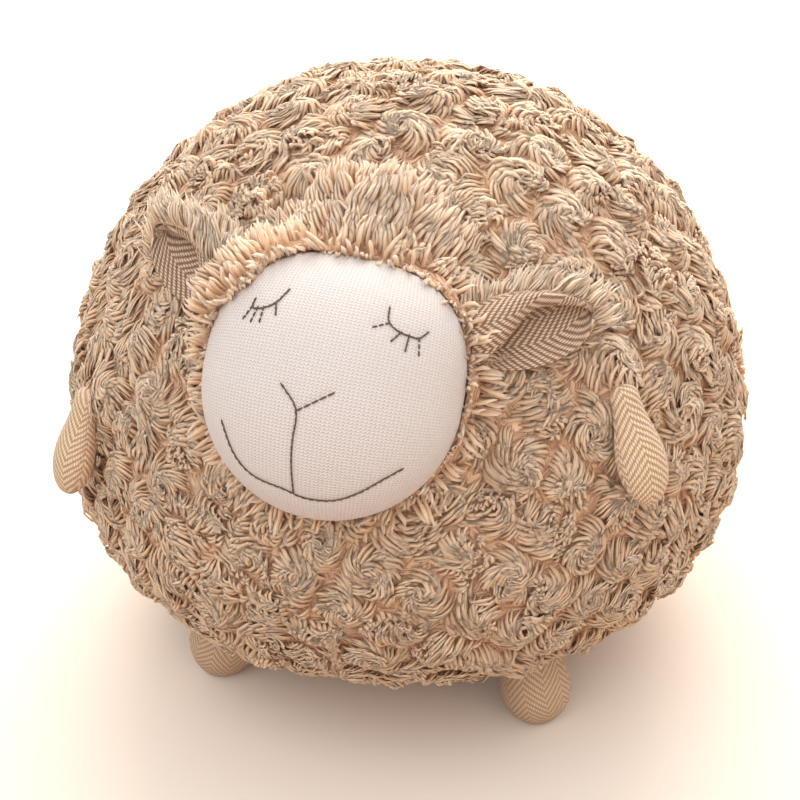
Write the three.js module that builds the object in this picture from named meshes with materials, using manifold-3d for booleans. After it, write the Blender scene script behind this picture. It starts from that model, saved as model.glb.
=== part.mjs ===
// A round plush sheep: a ball of curly plush with a knitted face sewn on its front, cupped ears,
// two arms that hang from a seam and two stub feet.
// Millimetres, +Z up. The sheep faces -Y, so its own left side is +X. The origin is on the floor
// under the middle of the body, on the flat patch that the body rests on.
// A head, ear, arm or foot is built in a frame of its own, and cut by the larger piece behind it.

import * as THREE from 'three';
import { ConvexHull } from 'three/addons/math/ConvexHull.js';
import { mergeVertices } from 'three/addons/utils/BufferGeometryUtils.js';
import Module from 'manifold-3d';

const wasm = await Module();
wasm.setup();

// Driving dimensions

const gap = 0.3;

// Body: an egg-shaped ball, fuller towards its base, that leans back on its own weight
const bodyHalfWidth = 150;
const bodyHalfDepth = 152;
const bodyCrownHeight = 149;
const bodyBaseDepth = 112;
const baseFullness = 2.6;
const bodyLeanDegrees = 12;
const bodyRollDegrees = 3;
const bodyRestingCut = 7;
const bodyCoverThickness = 12;
const frontPanelSeamDepth = 69;

// Rosettes: the plush stands in low swirled mounds, flat where something is sewn on or rests
const rosetteSpacing = 26;
const rosetteDip = 4.5;

// Head: a flattened ball for the face, with a taller crown of plush behind it
const headRiseDegrees = 31.6;
const headPitchDegrees = 32;
const headRollDegrees = -4.5;
const faceHalfWidth = 49;
const faceHalfHeight = 49;
const faceDepth = 37.5;
const browFullness = 2.7;
const facePanelThickness = 1.2;
const faceSeamSetback = 2;
const faceSeamTiltDegrees = 6;
const crownHalfWidth = 46;
const crownHalfHeight = 66;
const crownHalfDepth = 42;
const crownRaise = 18.5;
const crownSetback = 31;
const collarOverhang = 2;
const hoodThickness = 9;

// Ears: a plush back and a woven lining, cupped round one another, with the upper half rolled over
const earLength = 48;
const earHalfWidth = 18;
const earRootShare = 0.62;
const earWidestShare = 0.42;
const earTipShare = 0.97;
const earLowerCurlDegrees = 38;
const earUpperCurlDegrees = 112;
const earRootCurlShare = 0.4;
const earBackThickness = 6;
const earLiningThickness = 1.2;
const earPlushRim = 3;
const earEdgeShare = 0.35;
const earSideways = 43;
const earRaise = 29.5;
const earSetback = 9;
const earSweepDegrees = 17;
const earLiftDegrees = 20;
const earSwingDegrees = 45;

// Arms: stuffed teardrops that lie against the body below a short seam
const armLength = 42;
const armRootRadius = 6.5;
const armBellyRadius = 11;
const armBellyShare = 0.6;
const armFlatnessShare = 0.75;
const armTurnDegrees = 48;
const leftArmRiseDegrees = 25.5;
const rightArmRiseDegrees = 15;
const armSwingDegrees = 80;

// Feet: short stuffed stubs under the front edge of the body
const footLength = 46;
const footRootRadius = 11.5;
const footBellyRadius = 16;
const footBellyShare = 0.62;
const leftFootSpread = 79;
const rightFootSpread = 73;
const footForward = 80;
const footSplayDegrees = 14;
const footForwardTiltDegrees = 12;
const footRestingCut = 2;

// The woven cloth of the arms and feet
const limbClothThickness = 1.2;

// Embroidery: thread laid on the face
const threadRadius = 0.5;

// Facets round and along each form
const bodyFacets = { around: 32, up: 20 };
const headFacets = { around: 26, up: 14 };
const limbFacets = { around: 12, along: 4 };
const earFacets = { along: 7, across: 8 };
const threadSides = 5;
const threadStepsPerSpan = 3;

// Materials

const plush = new THREE.MeshStandardMaterial({ color: 0xc9a785, roughness: 0.95, metalness: 0 });
const jersey = new THREE.MeshStandardMaterial({ color: 0xf0e8e0, roughness: 0.9, metalness: 0 });
const herringbone = new THREE.MeshStandardMaterial({ color: 0xb59a7c, roughness: 0.9, metalness: 0 });
const wadding = new THREE.MeshStandardMaterial({ color: 0xf6f4ee, roughness: 1, metalness: 0 });
const thread = new THREE.MeshStandardMaterial({ color: 0x4a3a2b, roughness: 0.6, metalness: 0 });

// Solids

const radians = THREE.MathUtils.degToRad;

/** A closed geometry as a solid that can be joined and cut. */
function solidOf(geometry) {
  const bare = geometry.clone();
  bare.deleteAttribute('normal');
  bare.deleteAttribute('uv');
  const merged = mergeVertices(bare);
  return new wasm.Manifold(new wasm.Mesh({
    numProp: 3,
    vertProperties: new Float32Array(merged.attributes.position.array),
    triVerts: new Uint32Array(merged.index.array),
  }));
}

/** A solid as a three.js geometry. */
function geometryOf(solid) {
  const mesh = solid.getMesh();
  const geometry = new THREE.BufferGeometry();
  geometry.setAttribute('position', new THREE.BufferAttribute(mesh.vertProperties, mesh.numProp));
  geometry.setIndex(new THREE.BufferAttribute(mesh.triVerts, 1));
  geometry.computeVertexNormals();
  return geometry;
}

/** Adds a named piece to the group that places it. */
function addPiece(group, name, solid, material) {
  const mesh = new THREE.Mesh(geometryOf(solid), material);
  mesh.name = name;
  group.add(mesh);
}

/** The part of a solid on the side of a plane that its normal points to. */
function keepBeyond(solid, normal, distance) {
  return solid.trimByPlane(normal.toArray(), distance);
}

/** A ball of unit radius with its poles on Z. */
function ballOnZ(facets) {
  const geometry = new THREE.SphereGeometry(1, facets.around, facets.up);
  return geometry.rotateX(Math.PI / 2);
}

// Body

const bodyTurn = new THREE.Matrix4()
  .makeRotationX(-radians(bodyLeanDegrees))
  .multiply(new THREE.Matrix4().makeRotationY(-radians(bodyRollDegrees)));
const bodyUnturn = bodyTurn.clone().invert();

/** How far past the ball's surface a point lies in the body's own axes: 1 is on the surface. */
function bodyLevel(point) {
  const height = point.z > 0 ? bodyCrownHeight : bodyBaseDepth;
  const fullness = point.z > 0 ? 2 : baseFullness;
  const level = Math.hypot(point.x / bodyHalfWidth, point.y / bodyHalfDepth);
  return (level ** fullness + Math.abs(point.z / height) ** fullness) ** (1 / fullness);
}

/** The point of the ball, grown by a thickness and in its own axes, in a way from its middle. */
function onBall(way, grow) {
  const crown = way.z > 0;
  const height = (crown ? bodyCrownHeight : bodyBaseDepth) + grow;
  const fullness = crown ? 2 : baseFullness;
  const level = Math.hypot(way.x, way.y) ** fullness + Math.abs(way.z) ** fullness;
  return way.clone()
    .multiplyScalar(level ** (-1 / fullness))
    .multiply(new THREE.Vector3(bodyHalfWidth + grow, bodyHalfDepth + grow, height));
}

/** The ball grown by a thickness, turned as it leans, about the body's middle. */
function ballGeometry(grow) {
  const geometry = ballOnZ(bodyFacets);
  const position = geometry.attributes.position;
  const way = new THREE.Vector3();
  for (let i = 0; i < position.count; i += 1) {
    position.setXYZ(i, ...onBall(way.fromBufferAttribute(position, i), grow));
  }
  return geometry.applyMatrix4(bodyTurn);
}

const outerBall = ballGeometry(0);
outerBall.computeBoundingBox();
const bodyCentre = new THREE.Vector3(0, 0, -outerBall.boundingBox.min.z - bodyRestingCut);
const up = new THREE.Vector3(0, 0, 1);

/** The ball in the sheep's frame, trimmed at a height above the floor. */
function bodySolid(grow, floor) {
  const geometry = ballGeometry(grow);
  geometry.translate(bodyCentre.x, bodyCentre.y, bodyCentre.z);
  return keepBeyond(solidOf(geometry), up, floor);
}

/** The point of the body's surface in a direction from its middle, and the normal there. */
function bodySurface(turnDegrees, riseDegrees) {
  const turn = radians(turnDegrees);
  const rise = radians(riseDegrees);
  const direction = new THREE.Vector3(
    Math.sin(turn) * Math.cos(rise),
    -Math.cos(turn) * Math.cos(rise),
    Math.sin(rise),
  );
  const own = direction.clone().applyMatrix4(bodyUnturn);
  own.divideScalar(bodyLevel(own));
  const fullness = own.z > 0 ? 2 : baseFullness;
  const height = own.z > 0 ? bodyCrownHeight : bodyBaseDepth;
  const around = Math.hypot(own.x / bodyHalfWidth, own.y / bodyHalfDepth) ** (fullness - 2);
  const normal = new THREE.Vector3(
    around * own.x / bodyHalfWidth ** 2,
    around * own.y / bodyHalfDepth ** 2,
    Math.sign(own.z) * Math.abs(own.z / height) ** (fullness - 1) / height,
  );
  return {
    point: own.applyMatrix4(bodyTurn).add(bodyCentre),
    normal: normal.applyMatrix4(bodyTurn).normalize(),
  };
}

/** Ways from the middle to the rosettes, spread evenly over the ball by the golden angle. */
function rosetteWays() {
  const area = 4 * Math.PI * bodyHalfWidth * bodyHalfDepth;
  const count = Math.round(area / (rosetteSpacing ** 2 * Math.sqrt(3) / 2));
  const goldenAngle = Math.PI * (3 - Math.sqrt(5));
  return Array.from({ length: count }, (_, i) => {
    const height = 1 - (2 * i + 1) / count;
    const ring = Math.sqrt(1 - height ** 2);
    return new THREE.Vector3(ring * Math.cos(goldenAngle * i), ring * Math.sin(goldenAngle * i), height);
  });
}

/** How a foot is turned and where its root is, so that its tip rests on the floor. */
function footFrame(side, spread) {
  const turn = new THREE.Euler(
    -radians(footForwardTiltDegrees), -side * radians(footSplayDegrees), 0, 'YXZ',
  );
  const tip = new THREE.Vector3(0, 0, -footLength).applyEuler(turn);
  const place = new THREE.Vector3(side * spread, -footForward, -footRestingCut).sub(tip);
  return { turn, place };
}

const seats = [
  { place: bodySurface(0, headRiseDegrees).point, reach: crownHalfHeight },
  { place: bodySurface(armTurnDegrees, leftArmRiseDegrees).point, reach: armBellyRadius },
  { place: bodySurface(-armTurnDegrees, rightArmRiseDegrees).point, reach: armBellyRadius },
  { place: footFrame(1, leftFootSpread).place, reach: footLength / 2 },
  { place: footFrame(-1, rightFootSpread).place, reach: footLength / 2 },
];

/** How much of a dip a place on the cover keeps: none under what is sewn on, or at the floor. */
function dipShare(place) {
  const clear = seats.map((seat) => place.distanceTo(seat.place) - seat.reach);
  return THREE.MathUtils.smoothstep(Math.min(place.z, ...clear), 0, rosetteSpacing);
}

/** The cover's outer form in the sheep's frame: a fan of facets round the middle of each rosette. */
function plushGeometry(grow, dip) {
  const settled = (way, share) => {
    const place = onBall(way, grow).applyMatrix4(bodyTurn).add(bodyCentre);
    const sunk = onBall(way, grow - share * dip * dipShare(place));
    return sunk.applyMatrix4(bodyTurn).add(bodyCentre);
  };
  const hull = new ConvexHull().setFromPoints(rosetteWays());
  const border = new Map(hull.faces.map((face) => [face, settled(face.midpoint.clone().normalize(), 1)]));
  const corners = [];
  for (const face of hull.faces) {
    for (const edge of [face.edge, face.edge.next, face.edge.prev]) {
      const middle = settled(edge.tail().point, 0);
      corners.push(...middle, ...border.get(edge.twin.face), ...border.get(face));
    }
  }
  const geometry = new THREE.BufferGeometry();
  geometry.setAttribute('position', new THREE.Float32BufferAttribute(corners, 3));
  return geometry;
}

const sheep = new THREE.Group();

// The cover is cut out of plush in a front panel and a back, joined in one seam round the ball
const plushForm = keepBeyond(solidOf(plushGeometry(0, rosetteDip)), up, 0);
const coverShell = plushForm.subtract(bodySolid(-bodyCoverThickness, 0));
const seamForward = new THREE.Vector3(0, -1, 0).applyMatrix4(bodyTurn);
const seamDistance = frontPanelSeamDepth + seamForward.dot(bodyCentre);
const frontCover = keepBeyond(coverShell, seamForward, seamDistance + gap / 2);
const backCover = keepBeyond(coverShell, seamForward.clone().negate(), gap / 2 - seamDistance);
addPiece(sheep, 'body_front_cover', frontCover, plush);
addPiece(sheep, 'body_back_cover', backCover, plush);
addPiece(sheep, 'body_filling', bodySolid(-bodyCoverThickness - gap, gap), wadding);

/** The body's space and the gap round it, in the frame of a group that has swung about its own X. */
function bodyKeepOut(group, swing) {
  group.updateWorldMatrix(true, false);
  const geometry = plushGeometry(gap, 0);
  geometry.applyMatrix4(group.matrixWorld.clone().invert());
  return solidOf(geometry.rotateX(-radians(swing)));
}

/** What is left of a solid once each of some others is taken away. */
function cutBy(solid, keepOuts) {
  return keepOuts.reduce((rest, keepOut) => rest.subtract(keepOut), solid);
}

// Head: X runs across the face, Y up it and Z out of it

const head = new THREE.Group();
head.position.copy(bodySurface(0, headRiseDegrees).point);
head.quaternion
  .setFromAxisAngle(new THREE.Vector3(1, 0, 0), Math.PI / 2 - radians(headPitchDegrees))
  .multiply(new THREE.Quaternion().setFromAxisAngle(up, radians(headRollDegrees)));
sheep.add(head);

const seamTilt = radians(faceSeamTiltDegrees);
const seamOut = new THREE.Vector3(0, -Math.sin(seamTilt), Math.cos(seamTilt));
const seamBack = seamOut.clone().negate();

/** How far out from the middle of the face a place lies, given in shares of its half sizes. */
function faceLevel(across, rise) {
  const fullness = rise > 0 ? browFullness : 2;
  return (Math.abs(across) ** fullness + Math.abs(rise) ** fullness) ** (1 / fullness);
}

/** The face's flattened ball, squarer over the brow, grown by a thickness. */
function faceBall(grow) {
  const geometry = ballOnZ(headFacets);
  const position = geometry.attributes.position;
  for (let i = 0; i < position.count; i += 1) {
    const x = position.getX(i);
    const y = position.getY(i);
    const ring = Math.hypot(x, y);
    const widen = ring > 0 ? ring / faceLevel(x, y) : 1;
    position.setXY(i, x * widen, y * widen);
  }
  geometry.scale(faceHalfWidth + grow, faceHalfHeight + grow, faceDepth + grow);
  return solidOf(geometry);
}

/** The crown of plush behind the face, grown by a thickness. */
function crownBall(grow) {
  const geometry = ballOnZ(headFacets);
  geometry.scale(crownHalfWidth + grow, crownHalfHeight + grow, crownHalfDepth + grow);
  geometry.translate(0, crownRaise, -crownSetback);
  return solidOf(geometry);
}

/** The plush hood's outer form: the crown, and a collar that carries the face's outline back. */
function hoodForm(grow) {
  const collar = keepBeyond(faceBall(collarOverhang + grow), seamBack, faceSeamSetback);
  return crownBall(grow).add(collar);
}

const faceFront = keepBeyond(faceBall(0), seamOut, -faceSeamSetback);
const faceClear = keepBeyond(faceBall(gap), seamOut, -faceSeamSetback - gap);
const collarCore = faceBall(collarOverhang - hoodThickness);
const hoodCore = crownBall(-hoodThickness).add(collarCore);
const facePanel = faceFront.subtract(faceBall(-facePanelThickness)).subtract(crownBall(gap));
const hood = hoodForm(0).subtract(faceClear).subtract(hoodCore).subtract(bodyKeepOut(head, 0));
const panelClear = faceClear.subtract(faceBall(-facePanelThickness - gap));
const headFilling = keepBeyond(faceBall(-facePanelThickness - gap), seamOut, -faceSeamSetback)
  .add(crownBall(-hoodThickness - gap))
  .add(faceBall(collarOverhang - hoodThickness - gap))
  .subtract(panelClear)
  .subtract(bodyKeepOut(head, 0));
addPiece(head, 'head_hood', hood, plush);
addPiece(head, 'face_panel', facePanel, jersey);
addPiece(head, 'head_filling', headFilling, wadding);

// Embroidery: each list runs along the face, in shares of its half width and half height

/** A point just clear of the knitted face, from shares of its half width and half height. */
function onFace(share) {
  const level = faceLevel(share.x, share.y);
  const outShare = Math.sqrt(1 - level ** 2);
  const point = new THREE.Vector3(share.x * faceHalfWidth, share.y * faceHalfHeight, outShare * faceDepth);
  const fullness = share.y > 0 ? browFullness : 2;
  const normal = new THREE.Vector3(
    Math.sign(share.x) * Math.abs(share.x) ** (fullness - 1) / faceHalfWidth,
    Math.sign(share.y) * Math.abs(share.y) ** (fullness - 1) / faceHalfHeight,
    level ** (fullness - 2) * outShare / faceDepth,
  );
  return point.addScaledVector(normal.normalize(), threadRadius + gap);
}

/** One run of thread along points of the face. */
function threadRun(shares) {
  const section = new THREE.Shape();
  for (let i = 0; i < threadSides; i += 1) {
    const angle = 2 * Math.PI * i / threadSides;
    const corner = [threadRadius * Math.cos(angle), threadRadius * Math.sin(angle)];
    if (i === 0) {
      section.moveTo(...corner);
    } else {
      section.lineTo(...corner);
    }
  }
  const flat = new THREE.SplineCurve(shares.map((share) => new THREE.Vector2(...share)));
  const steps = (shares.length - 1) * threadStepsPerSpan;
  const extrudePath = new THREE.CatmullRomCurve3(flat.getPoints(steps).map(onFace));
  return solidOf(new THREE.ExtrudeGeometry(section, { steps, extrudePath }));
}

/** Runs of thread that cross or branch, as one piece. */
function threadWork(runs) {
  return runs.map(threadRun).reduce((work, run) => work.add(run));
}

const leftEyeShares = [
  [[0.42, 0.65], [0.44, 0.54], [0.54, 0.49], [0.60, 0.48], [0.67, 0.47], [0.71, 0.53]],
  [[0.44, 0.54], [0.36, 0.50]],
  [[0.54, 0.49], [0.50, 0.43]],
  [[0.60, 0.48], [0.60, 0.38]],
  [[0.67, 0.47], [0.69, 0.37]],
];
const rightEyeShares = [
  [[-0.33, 0.64], [-0.39, 0.53], [-0.48, 0.48], [-0.53, 0.47], [-0.58, 0.47], [-0.57, 0.53]],
  [[-0.39, 0.53], [-0.37, 0.46]],
  [[-0.48, 0.48], [-0.48, 0.39]],
  [[-0.53, 0.47], [-0.55, 0.38]],
  [[-0.58, 0.47], [-0.62, 0.39]],
];
const noseShares = [
  [[-0.19, -0.02], [-0.04, -0.18], [-0.065, -0.44], [-0.035, -0.71]],
  [[0.17, -0.03], [-0.04, -0.18]],
];
const mouthShares = [
  [[-0.65, -0.37], [-0.52, -0.61], [-0.34, -0.73], [-0.04, -0.77], [0.34, -0.72], [0.70, -0.43]],
];
addPiece(head, 'left_eye_stitches', threadWork(leftEyeShares), thread);
addPiece(head, 'right_eye_stitches', threadWork(rightEyeShares), thread);
addPiece(head, 'nose_stitches', threadWork(noseShares), thread);
addPiece(head, 'mouth_stitches', threadWork(mouthShares), thread);

// Ears: X runs from the root to the tip, Y up across the ear and Z out of the lining

/** How far across the ear reaches at a share of its length, as a share of its widest. */
function earWidthShare(lengthShare) {
  if (lengthShare < earWidestShare) {
    const inwards = 1 - lengthShare / earWidestShare;
    return 1 - (1 - earRootShare) * inwards ** 2;
  }
  const outwards = (lengthShare - earWidestShare) / (1 - earWidestShare);
  return Math.sqrt(1 - outwards ** 2);
}

/** A point of the cupped sheet that both ear pieces follow, and the normal out of the lining. */
function earSheet(side, rim, lengthShare, acrossShare) {
  const reach = lengthShare * earTipShare;
  const half = (earHalfWidth + rim) * earWidthShare(reach);
  const opening = earRootCurlShare + (1 - earRootCurlShare) * Math.sin(Math.PI * reach / 2);
  const curl = acrossShare > 0 ? earUpperCurlDegrees : earLowerCurlDegrees;
  const angle = radians(curl) * opening;
  const turn = angle * acrossShare;
  const point = new THREE.Vector3(
    side * reach * (earLength + rim),
    half * Math.sin(turn) / angle,
    half * (1 - Math.cos(turn)) / angle,
  );
  return { point, normal: new THREE.Vector3(0, -Math.sin(turn), Math.cos(turn)) };
}

/** A closed sheet between two depths under the cupped surface, thinner towards its edges. */
function earSolid(side, rim, outerDepth, innerDepth) {
  const { along, across } = earFacets;
  const corners = [];
  for (const depth of [outerDepth, innerDepth]) {
    for (let i = 0; i <= along; i += 1) {
      for (let j = 0; j <= across; j += 1) {
        const lengthShare = Math.sin(Math.PI / 2 * i / along);
        const acrossShare = 2 * j / across - 1;
        const { point, normal } = earSheet(side, rim, lengthShare, acrossShare);
        const edge = Math.max(Math.abs(acrossShare), lengthShare) ** 4;
        const thickness = (depth - outerDepth) * (1 - (1 - earEdgeShare) * edge);
        corners.push(...point.addScaledVector(normal, outerDepth + thickness));
      }
    }
  }
  const row = across + 1;
  const layer = (along + 1) * row;
  const faces = [];
  const quad = (a, b, c, d) => faces.push(a, b, c, a, c, d);
  for (let i = 0; i < along; i += 1) {
    for (let j = 0; j < across; j += 1) {
      const a = i * row + j;
      quad(a, a + row, a + row + 1, a + 1);
      quad(a + layer, a + layer + 1, a + layer + row + 1, a + layer + row);
    }
    const low = i * row;
    const high = low + across;
    quad(low, low + layer, low + layer + row, low + row);
    quad(high, high + row, high + row + layer, high + layer);
  }
  for (let j = 0; j < across; j += 1) {
    const tip = along * row + j;
    quad(j, j + 1, j + 1 + layer, j + layer);
    quad(tip, tip + layer, tip + layer + 1, tip + 1);
  }
  if (side < 0) {
    faces.reverse();
  }
  const geometry = new THREE.BufferGeometry();
  geometry.setAttribute('position', new THREE.Float32BufferAttribute(corners, 3));
  geometry.setIndex(faces);
  return solidOf(geometry);
}

/** The hood's space and the gap round it, in the frame of an ear that has swung forward. */
function hoodKeepOut(ear, side, swing) {
  ear.updateMatrix();
  const geometry = geometryOf(hoodForm(gap)).applyMatrix4(ear.matrix.clone().invert());
  return solidOf(geometry.rotateY(side * radians(swing)));
}

for (const [name, side] of [['left_ear', 1], ['right_ear', -1]]) {
  const ear = new THREE.Group();
  ear.position.set(side * earSideways, earRaise, -earSetback);
  ear.rotation.set(0, side * radians(earSweepDegrees), side * radians(earLiftDegrees), 'ZYX');
  head.add(ear);
  const keepOuts = [0, earSwingDegrees / 2, earSwingDegrees].map((swing) => hoodKeepOut(ear, side, swing));
  keepOuts.push(bodyKeepOut(ear, 0));
  const back = earSolid(side, earPlushRim, -gap, -gap - earBackThickness);
  const lining = earSolid(side, 0, earLiningThickness, 0);
  addPiece(ear, `${name}_back`, cutBy(back, keepOuts), plush);
  addPiece(ear, `${name}_lining`, cutBy(lining, keepOuts), herringbone);
}

// Arms and feet

/** A stuffed limb turned round Z, from its root at the origin down to its tip, shrunk by a wall. */
function limbSolid(sizes, shrink) {
  const { length, rootRadius, bellyRadius, bellyShare, flatnessShare } = sizes;
  const profile = [];
  for (let i = 0; i < limbFacets.along; i += 1) {
    const angle = Math.PI / 2 * i / limbFacets.along;
    const radius = rootRadius - shrink;
    profile.push(new THREE.Vector2(radius * Math.sin(angle), radius * Math.cos(angle)));
  }
  const bellyDepth = length * bellyShare;
  for (let i = 0; i < limbFacets.along; i += 1) {
    const share = i / limbFacets.along;
    const swell = (1 - Math.cos(Math.PI * share)) / 2;
    const radius = rootRadius + (bellyRadius - rootRadius) * swell - shrink;
    profile.push(new THREE.Vector2(radius, -bellyDepth * share));
  }
  const tipDepth = length - bellyDepth - shrink;
  for (let i = 0; i <= limbFacets.along; i += 1) {
    const angle = Math.PI / 2 * i / limbFacets.along;
    const radius = i < limbFacets.along ? (bellyRadius - shrink) * Math.cos(angle) : 0;
    profile.push(new THREE.Vector2(radius, -bellyDepth - tipDepth * Math.sin(angle)));
  }
  const geometry = new THREE.LatheGeometry(profile.reverse(), limbFacets.around);
  geometry.rotateX(Math.PI / 2);
  geometry.scale(1, flatnessShare, 1);
  return solidOf(geometry);
}

/** A limb's inner space, left open past its root, where the cloth is sewn to the body. */
function limbCavity(sizes, shrink) {
  const radius = sizes.rootRadius - shrink;
  const mouth = new THREE.CylinderGeometry(radius, radius, sizes.length, limbFacets.around);
  mouth.rotateX(Math.PI / 2);
  mouth.scale(1, sizes.flatnessShare, 1);
  mouth.translate(0, 0, sizes.length / 2);
  return limbSolid(sizes, shrink).add(solidOf(mouth));
}

const armSizes = {
  length: armLength,
  rootRadius: armRootRadius,
  bellyRadius: armBellyRadius,
  bellyShare: armBellyShare,
  flatnessShare: armFlatnessShare,
};
const footSizes = {
  length: footLength,
  rootRadius: footRootRadius,
  bellyRadius: footBellyRadius,
  bellyShare: footBellyShare,
  flatnessShare: 1,
};

/** A point that stands off the body's surface by a distance. */
function offBody(turnDegrees, riseDegrees, distance) {
  const { point, normal } = bodySurface(turnDegrees, riseDegrees);
  return point.addScaledVector(normal, distance);
}

// An arm's frame has X along its seam, Y out from the body and Z up the arm to its root
for (const [name, side, rise] of [
  ['left_arm', 1, leftArmRiseDegrees],
  ['right_arm', -1, rightArmRiseDegrees],
]) {
  const turn = side * armTurnDegrees;
  const bellyDrop = THREE.MathUtils.radToDeg(armLength * armBellyShare / bodyHalfWidth);
  const root = offBody(turn, rise, armRootRadius * armFlatnessShare + gap);
  const belly = offBody(turn, rise - bellyDrop, armBellyRadius * armFlatnessShare + gap);
  const upArm = root.clone().sub(belly).normalize();
  const { normal } = bodySurface(turn, rise);
  const seam = normal.clone().cross(upArm).normalize();
  const arm = new THREE.Group();
  arm.position.copy(root);
  arm.quaternion.setFromRotationMatrix(
    new THREE.Matrix4().makeBasis(seam, upArm.clone().cross(seam), upArm),
  );
  sheep.add(arm);
  const keepOuts = [0, armSwingDegrees / 2, armSwingDegrees].map((swing) => bodyKeepOut(arm, swing));
  const cover = limbSolid(armSizes, 0).subtract(limbCavity(armSizes, limbClothThickness));
  const filling = limbSolid(armSizes, limbClothThickness + gap);
  addPiece(arm, `${name}_cover`, cutBy(cover, keepOuts), herringbone);
  addPiece(arm, `${name}_filling`, cutBy(filling, keepOuts), wadding);
}

// A foot's frame has its tip down its own -Z, which leans out and forward from the body
for (const [name, side, spread] of [
  ['left_foot', 1, leftFootSpread],
  ['right_foot', -1, rightFootSpread],
]) {
  const foot = new THREE.Group();
  const { turn, place } = footFrame(side, spread);
  foot.rotation.copy(turn);
  foot.position.copy(place);
  sheep.add(foot);
  foot.updateWorldMatrix(true, false);
  const floorUp = up.clone().applyQuaternion(foot.quaternion.clone().invert());
  const floorDistance = -foot.position.z;
  const clothFloor = floorDistance + limbClothThickness;
  const cavity = keepBeyond(limbCavity(footSizes, limbClothThickness), floorUp, clothFloor);
  const cover = keepBeyond(limbSolid(footSizes, 0), floorUp, floorDistance)
    .subtract(cavity)
    .subtract(bodyKeepOut(foot, 0));
  const stuffing = limbSolid(footSizes, limbClothThickness + gap);
  const filling = keepBeyond(stuffing, floorUp, clothFloor + gap).subtract(bodyKeepOut(foot, 0));
  addPiece(foot, `${name}_cover`, cover, herringbone);
  addPiece(foot, `${name}_filling`, filling, wadding);
}

export default sheep;
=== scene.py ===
import math

import bmesh
import bpy
import numpy as np
from mathutils import Matrix, Vector, noise


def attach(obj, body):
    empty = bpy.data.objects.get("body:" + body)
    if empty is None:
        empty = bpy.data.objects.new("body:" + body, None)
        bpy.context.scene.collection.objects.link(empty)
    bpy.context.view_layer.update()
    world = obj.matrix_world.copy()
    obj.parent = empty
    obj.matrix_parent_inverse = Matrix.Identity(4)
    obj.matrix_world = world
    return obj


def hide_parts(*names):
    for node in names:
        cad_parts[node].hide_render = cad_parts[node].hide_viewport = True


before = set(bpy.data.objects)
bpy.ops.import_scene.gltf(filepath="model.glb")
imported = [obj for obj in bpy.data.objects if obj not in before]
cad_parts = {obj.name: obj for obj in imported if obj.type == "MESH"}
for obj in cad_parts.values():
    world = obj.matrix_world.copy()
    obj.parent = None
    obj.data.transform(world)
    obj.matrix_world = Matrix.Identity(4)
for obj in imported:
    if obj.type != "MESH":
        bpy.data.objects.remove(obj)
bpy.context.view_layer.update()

# The camera
# The toy is seen from a little to its own left and well above, through a portrait lens.

mm = 0.001
camera_turn = math.radians(12.5)
camera_rise = math.radians(32)
camera_distance = 760 * mm
camera_target = Vector((-3.3 * mm, 0, 106.3 * mm))
camera_back = Vector((
    math.sin(camera_turn) * math.cos(camera_rise),
    -math.cos(camera_turn) * math.cos(camera_rise),
    math.sin(camera_rise),
))
camera = bpy.data.objects.new("camera", bpy.data.cameras.new("camera"))
camera.data.lens = 74.25
camera.location = camera_target + camera_back * camera_distance
camera.rotation_euler = camera_back.to_track_quat("Z", "Y").to_euler()
bpy.context.collection.objects.link(camera)
bpy.context.scene.camera = camera

# The body cover
# A ball of rose-swirl plush in two panels, front and back, sewn round the ball and stuffed tight.
# The pile is long and soft, and is set in rosettes: each lock curls round the middle of its own.

BODY_HALF_WIDTH = 150 * mm
BODY_HALF_DEPTH = 152 * mm
BODY_CROWN = 149 * mm
BODY_BASE = 112 * mm
BODY_BASE_FULLNESS = 2.6
BODY_RESTING_CUT = 7 * mm
FRONT_SEAM_DEPTH = 69 * mm
SEAM_PARTING = 0.4 * mm
BODY_TURN = Matrix.Rotation(math.radians(-12), 3, "X") @ Matrix.Rotation(math.radians(-3), 3, "Y")
BODY_FINENESS = 6
BODY_ROSETTE_SPACING = 26 * mm
BODY_LUMP = 1.6 * mm
LUMP_SPREAD = 55 * mm
DRIFT_SPREAD = 24 * mm
PILE = 10 * mm
BED_SHARE = 0.6
ROSETTE_STRAY = 4 * mm
PILE_RISE = 2 * mm
NECK_GROOVE = 3.5 * mm
NECK_GROOVE_SPREAD = 7 * mm
EAR_HOLLOW = 7 * mm
EAR_HOLLOW_SPREAD = 15 * mm
SHOULDER_RISE = 14 * mm
SHOULDER_SPREAD = 12 * mm
SHOULDER_UP = 4 * mm
ARM_TURN = 48
ARM_RISES = {"left_arm": 25.5, "right_arm": 15}
FLOOR_CLEARANCE = 0.6 * mm
CROWN_COVER_INSET = 4 * mm
FACE_COVER_INSET = 3 * mm
RESTING_PILE_LEVEL = 2 * mm
RESTING_PILE_SHARE = 0.35
SEAM_TURN_IN = 1 * mm


def ball_places(directions, grow):
    """Places on the stuffed ball, grown by a distance, for rows of directions from its middle."""
    x, y, z = directions.T
    fullness = np.where(z > 0, 2, BODY_BASE_FULLNESS)
    level = (np.hypot(x, y) ** fullness + np.abs(z) ** fullness) ** (1 / fullness)
    width = np.full_like(x, BODY_HALF_WIDTH + grow)
    depth = np.full_like(x, BODY_HALF_DEPTH + grow)
    height = np.where(z > 0, BODY_CROWN, BODY_BASE) + grow
    return (directions / level[:, None] * np.stack([width, depth, height], 1)) @ np.array(BODY_TURN).T


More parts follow.
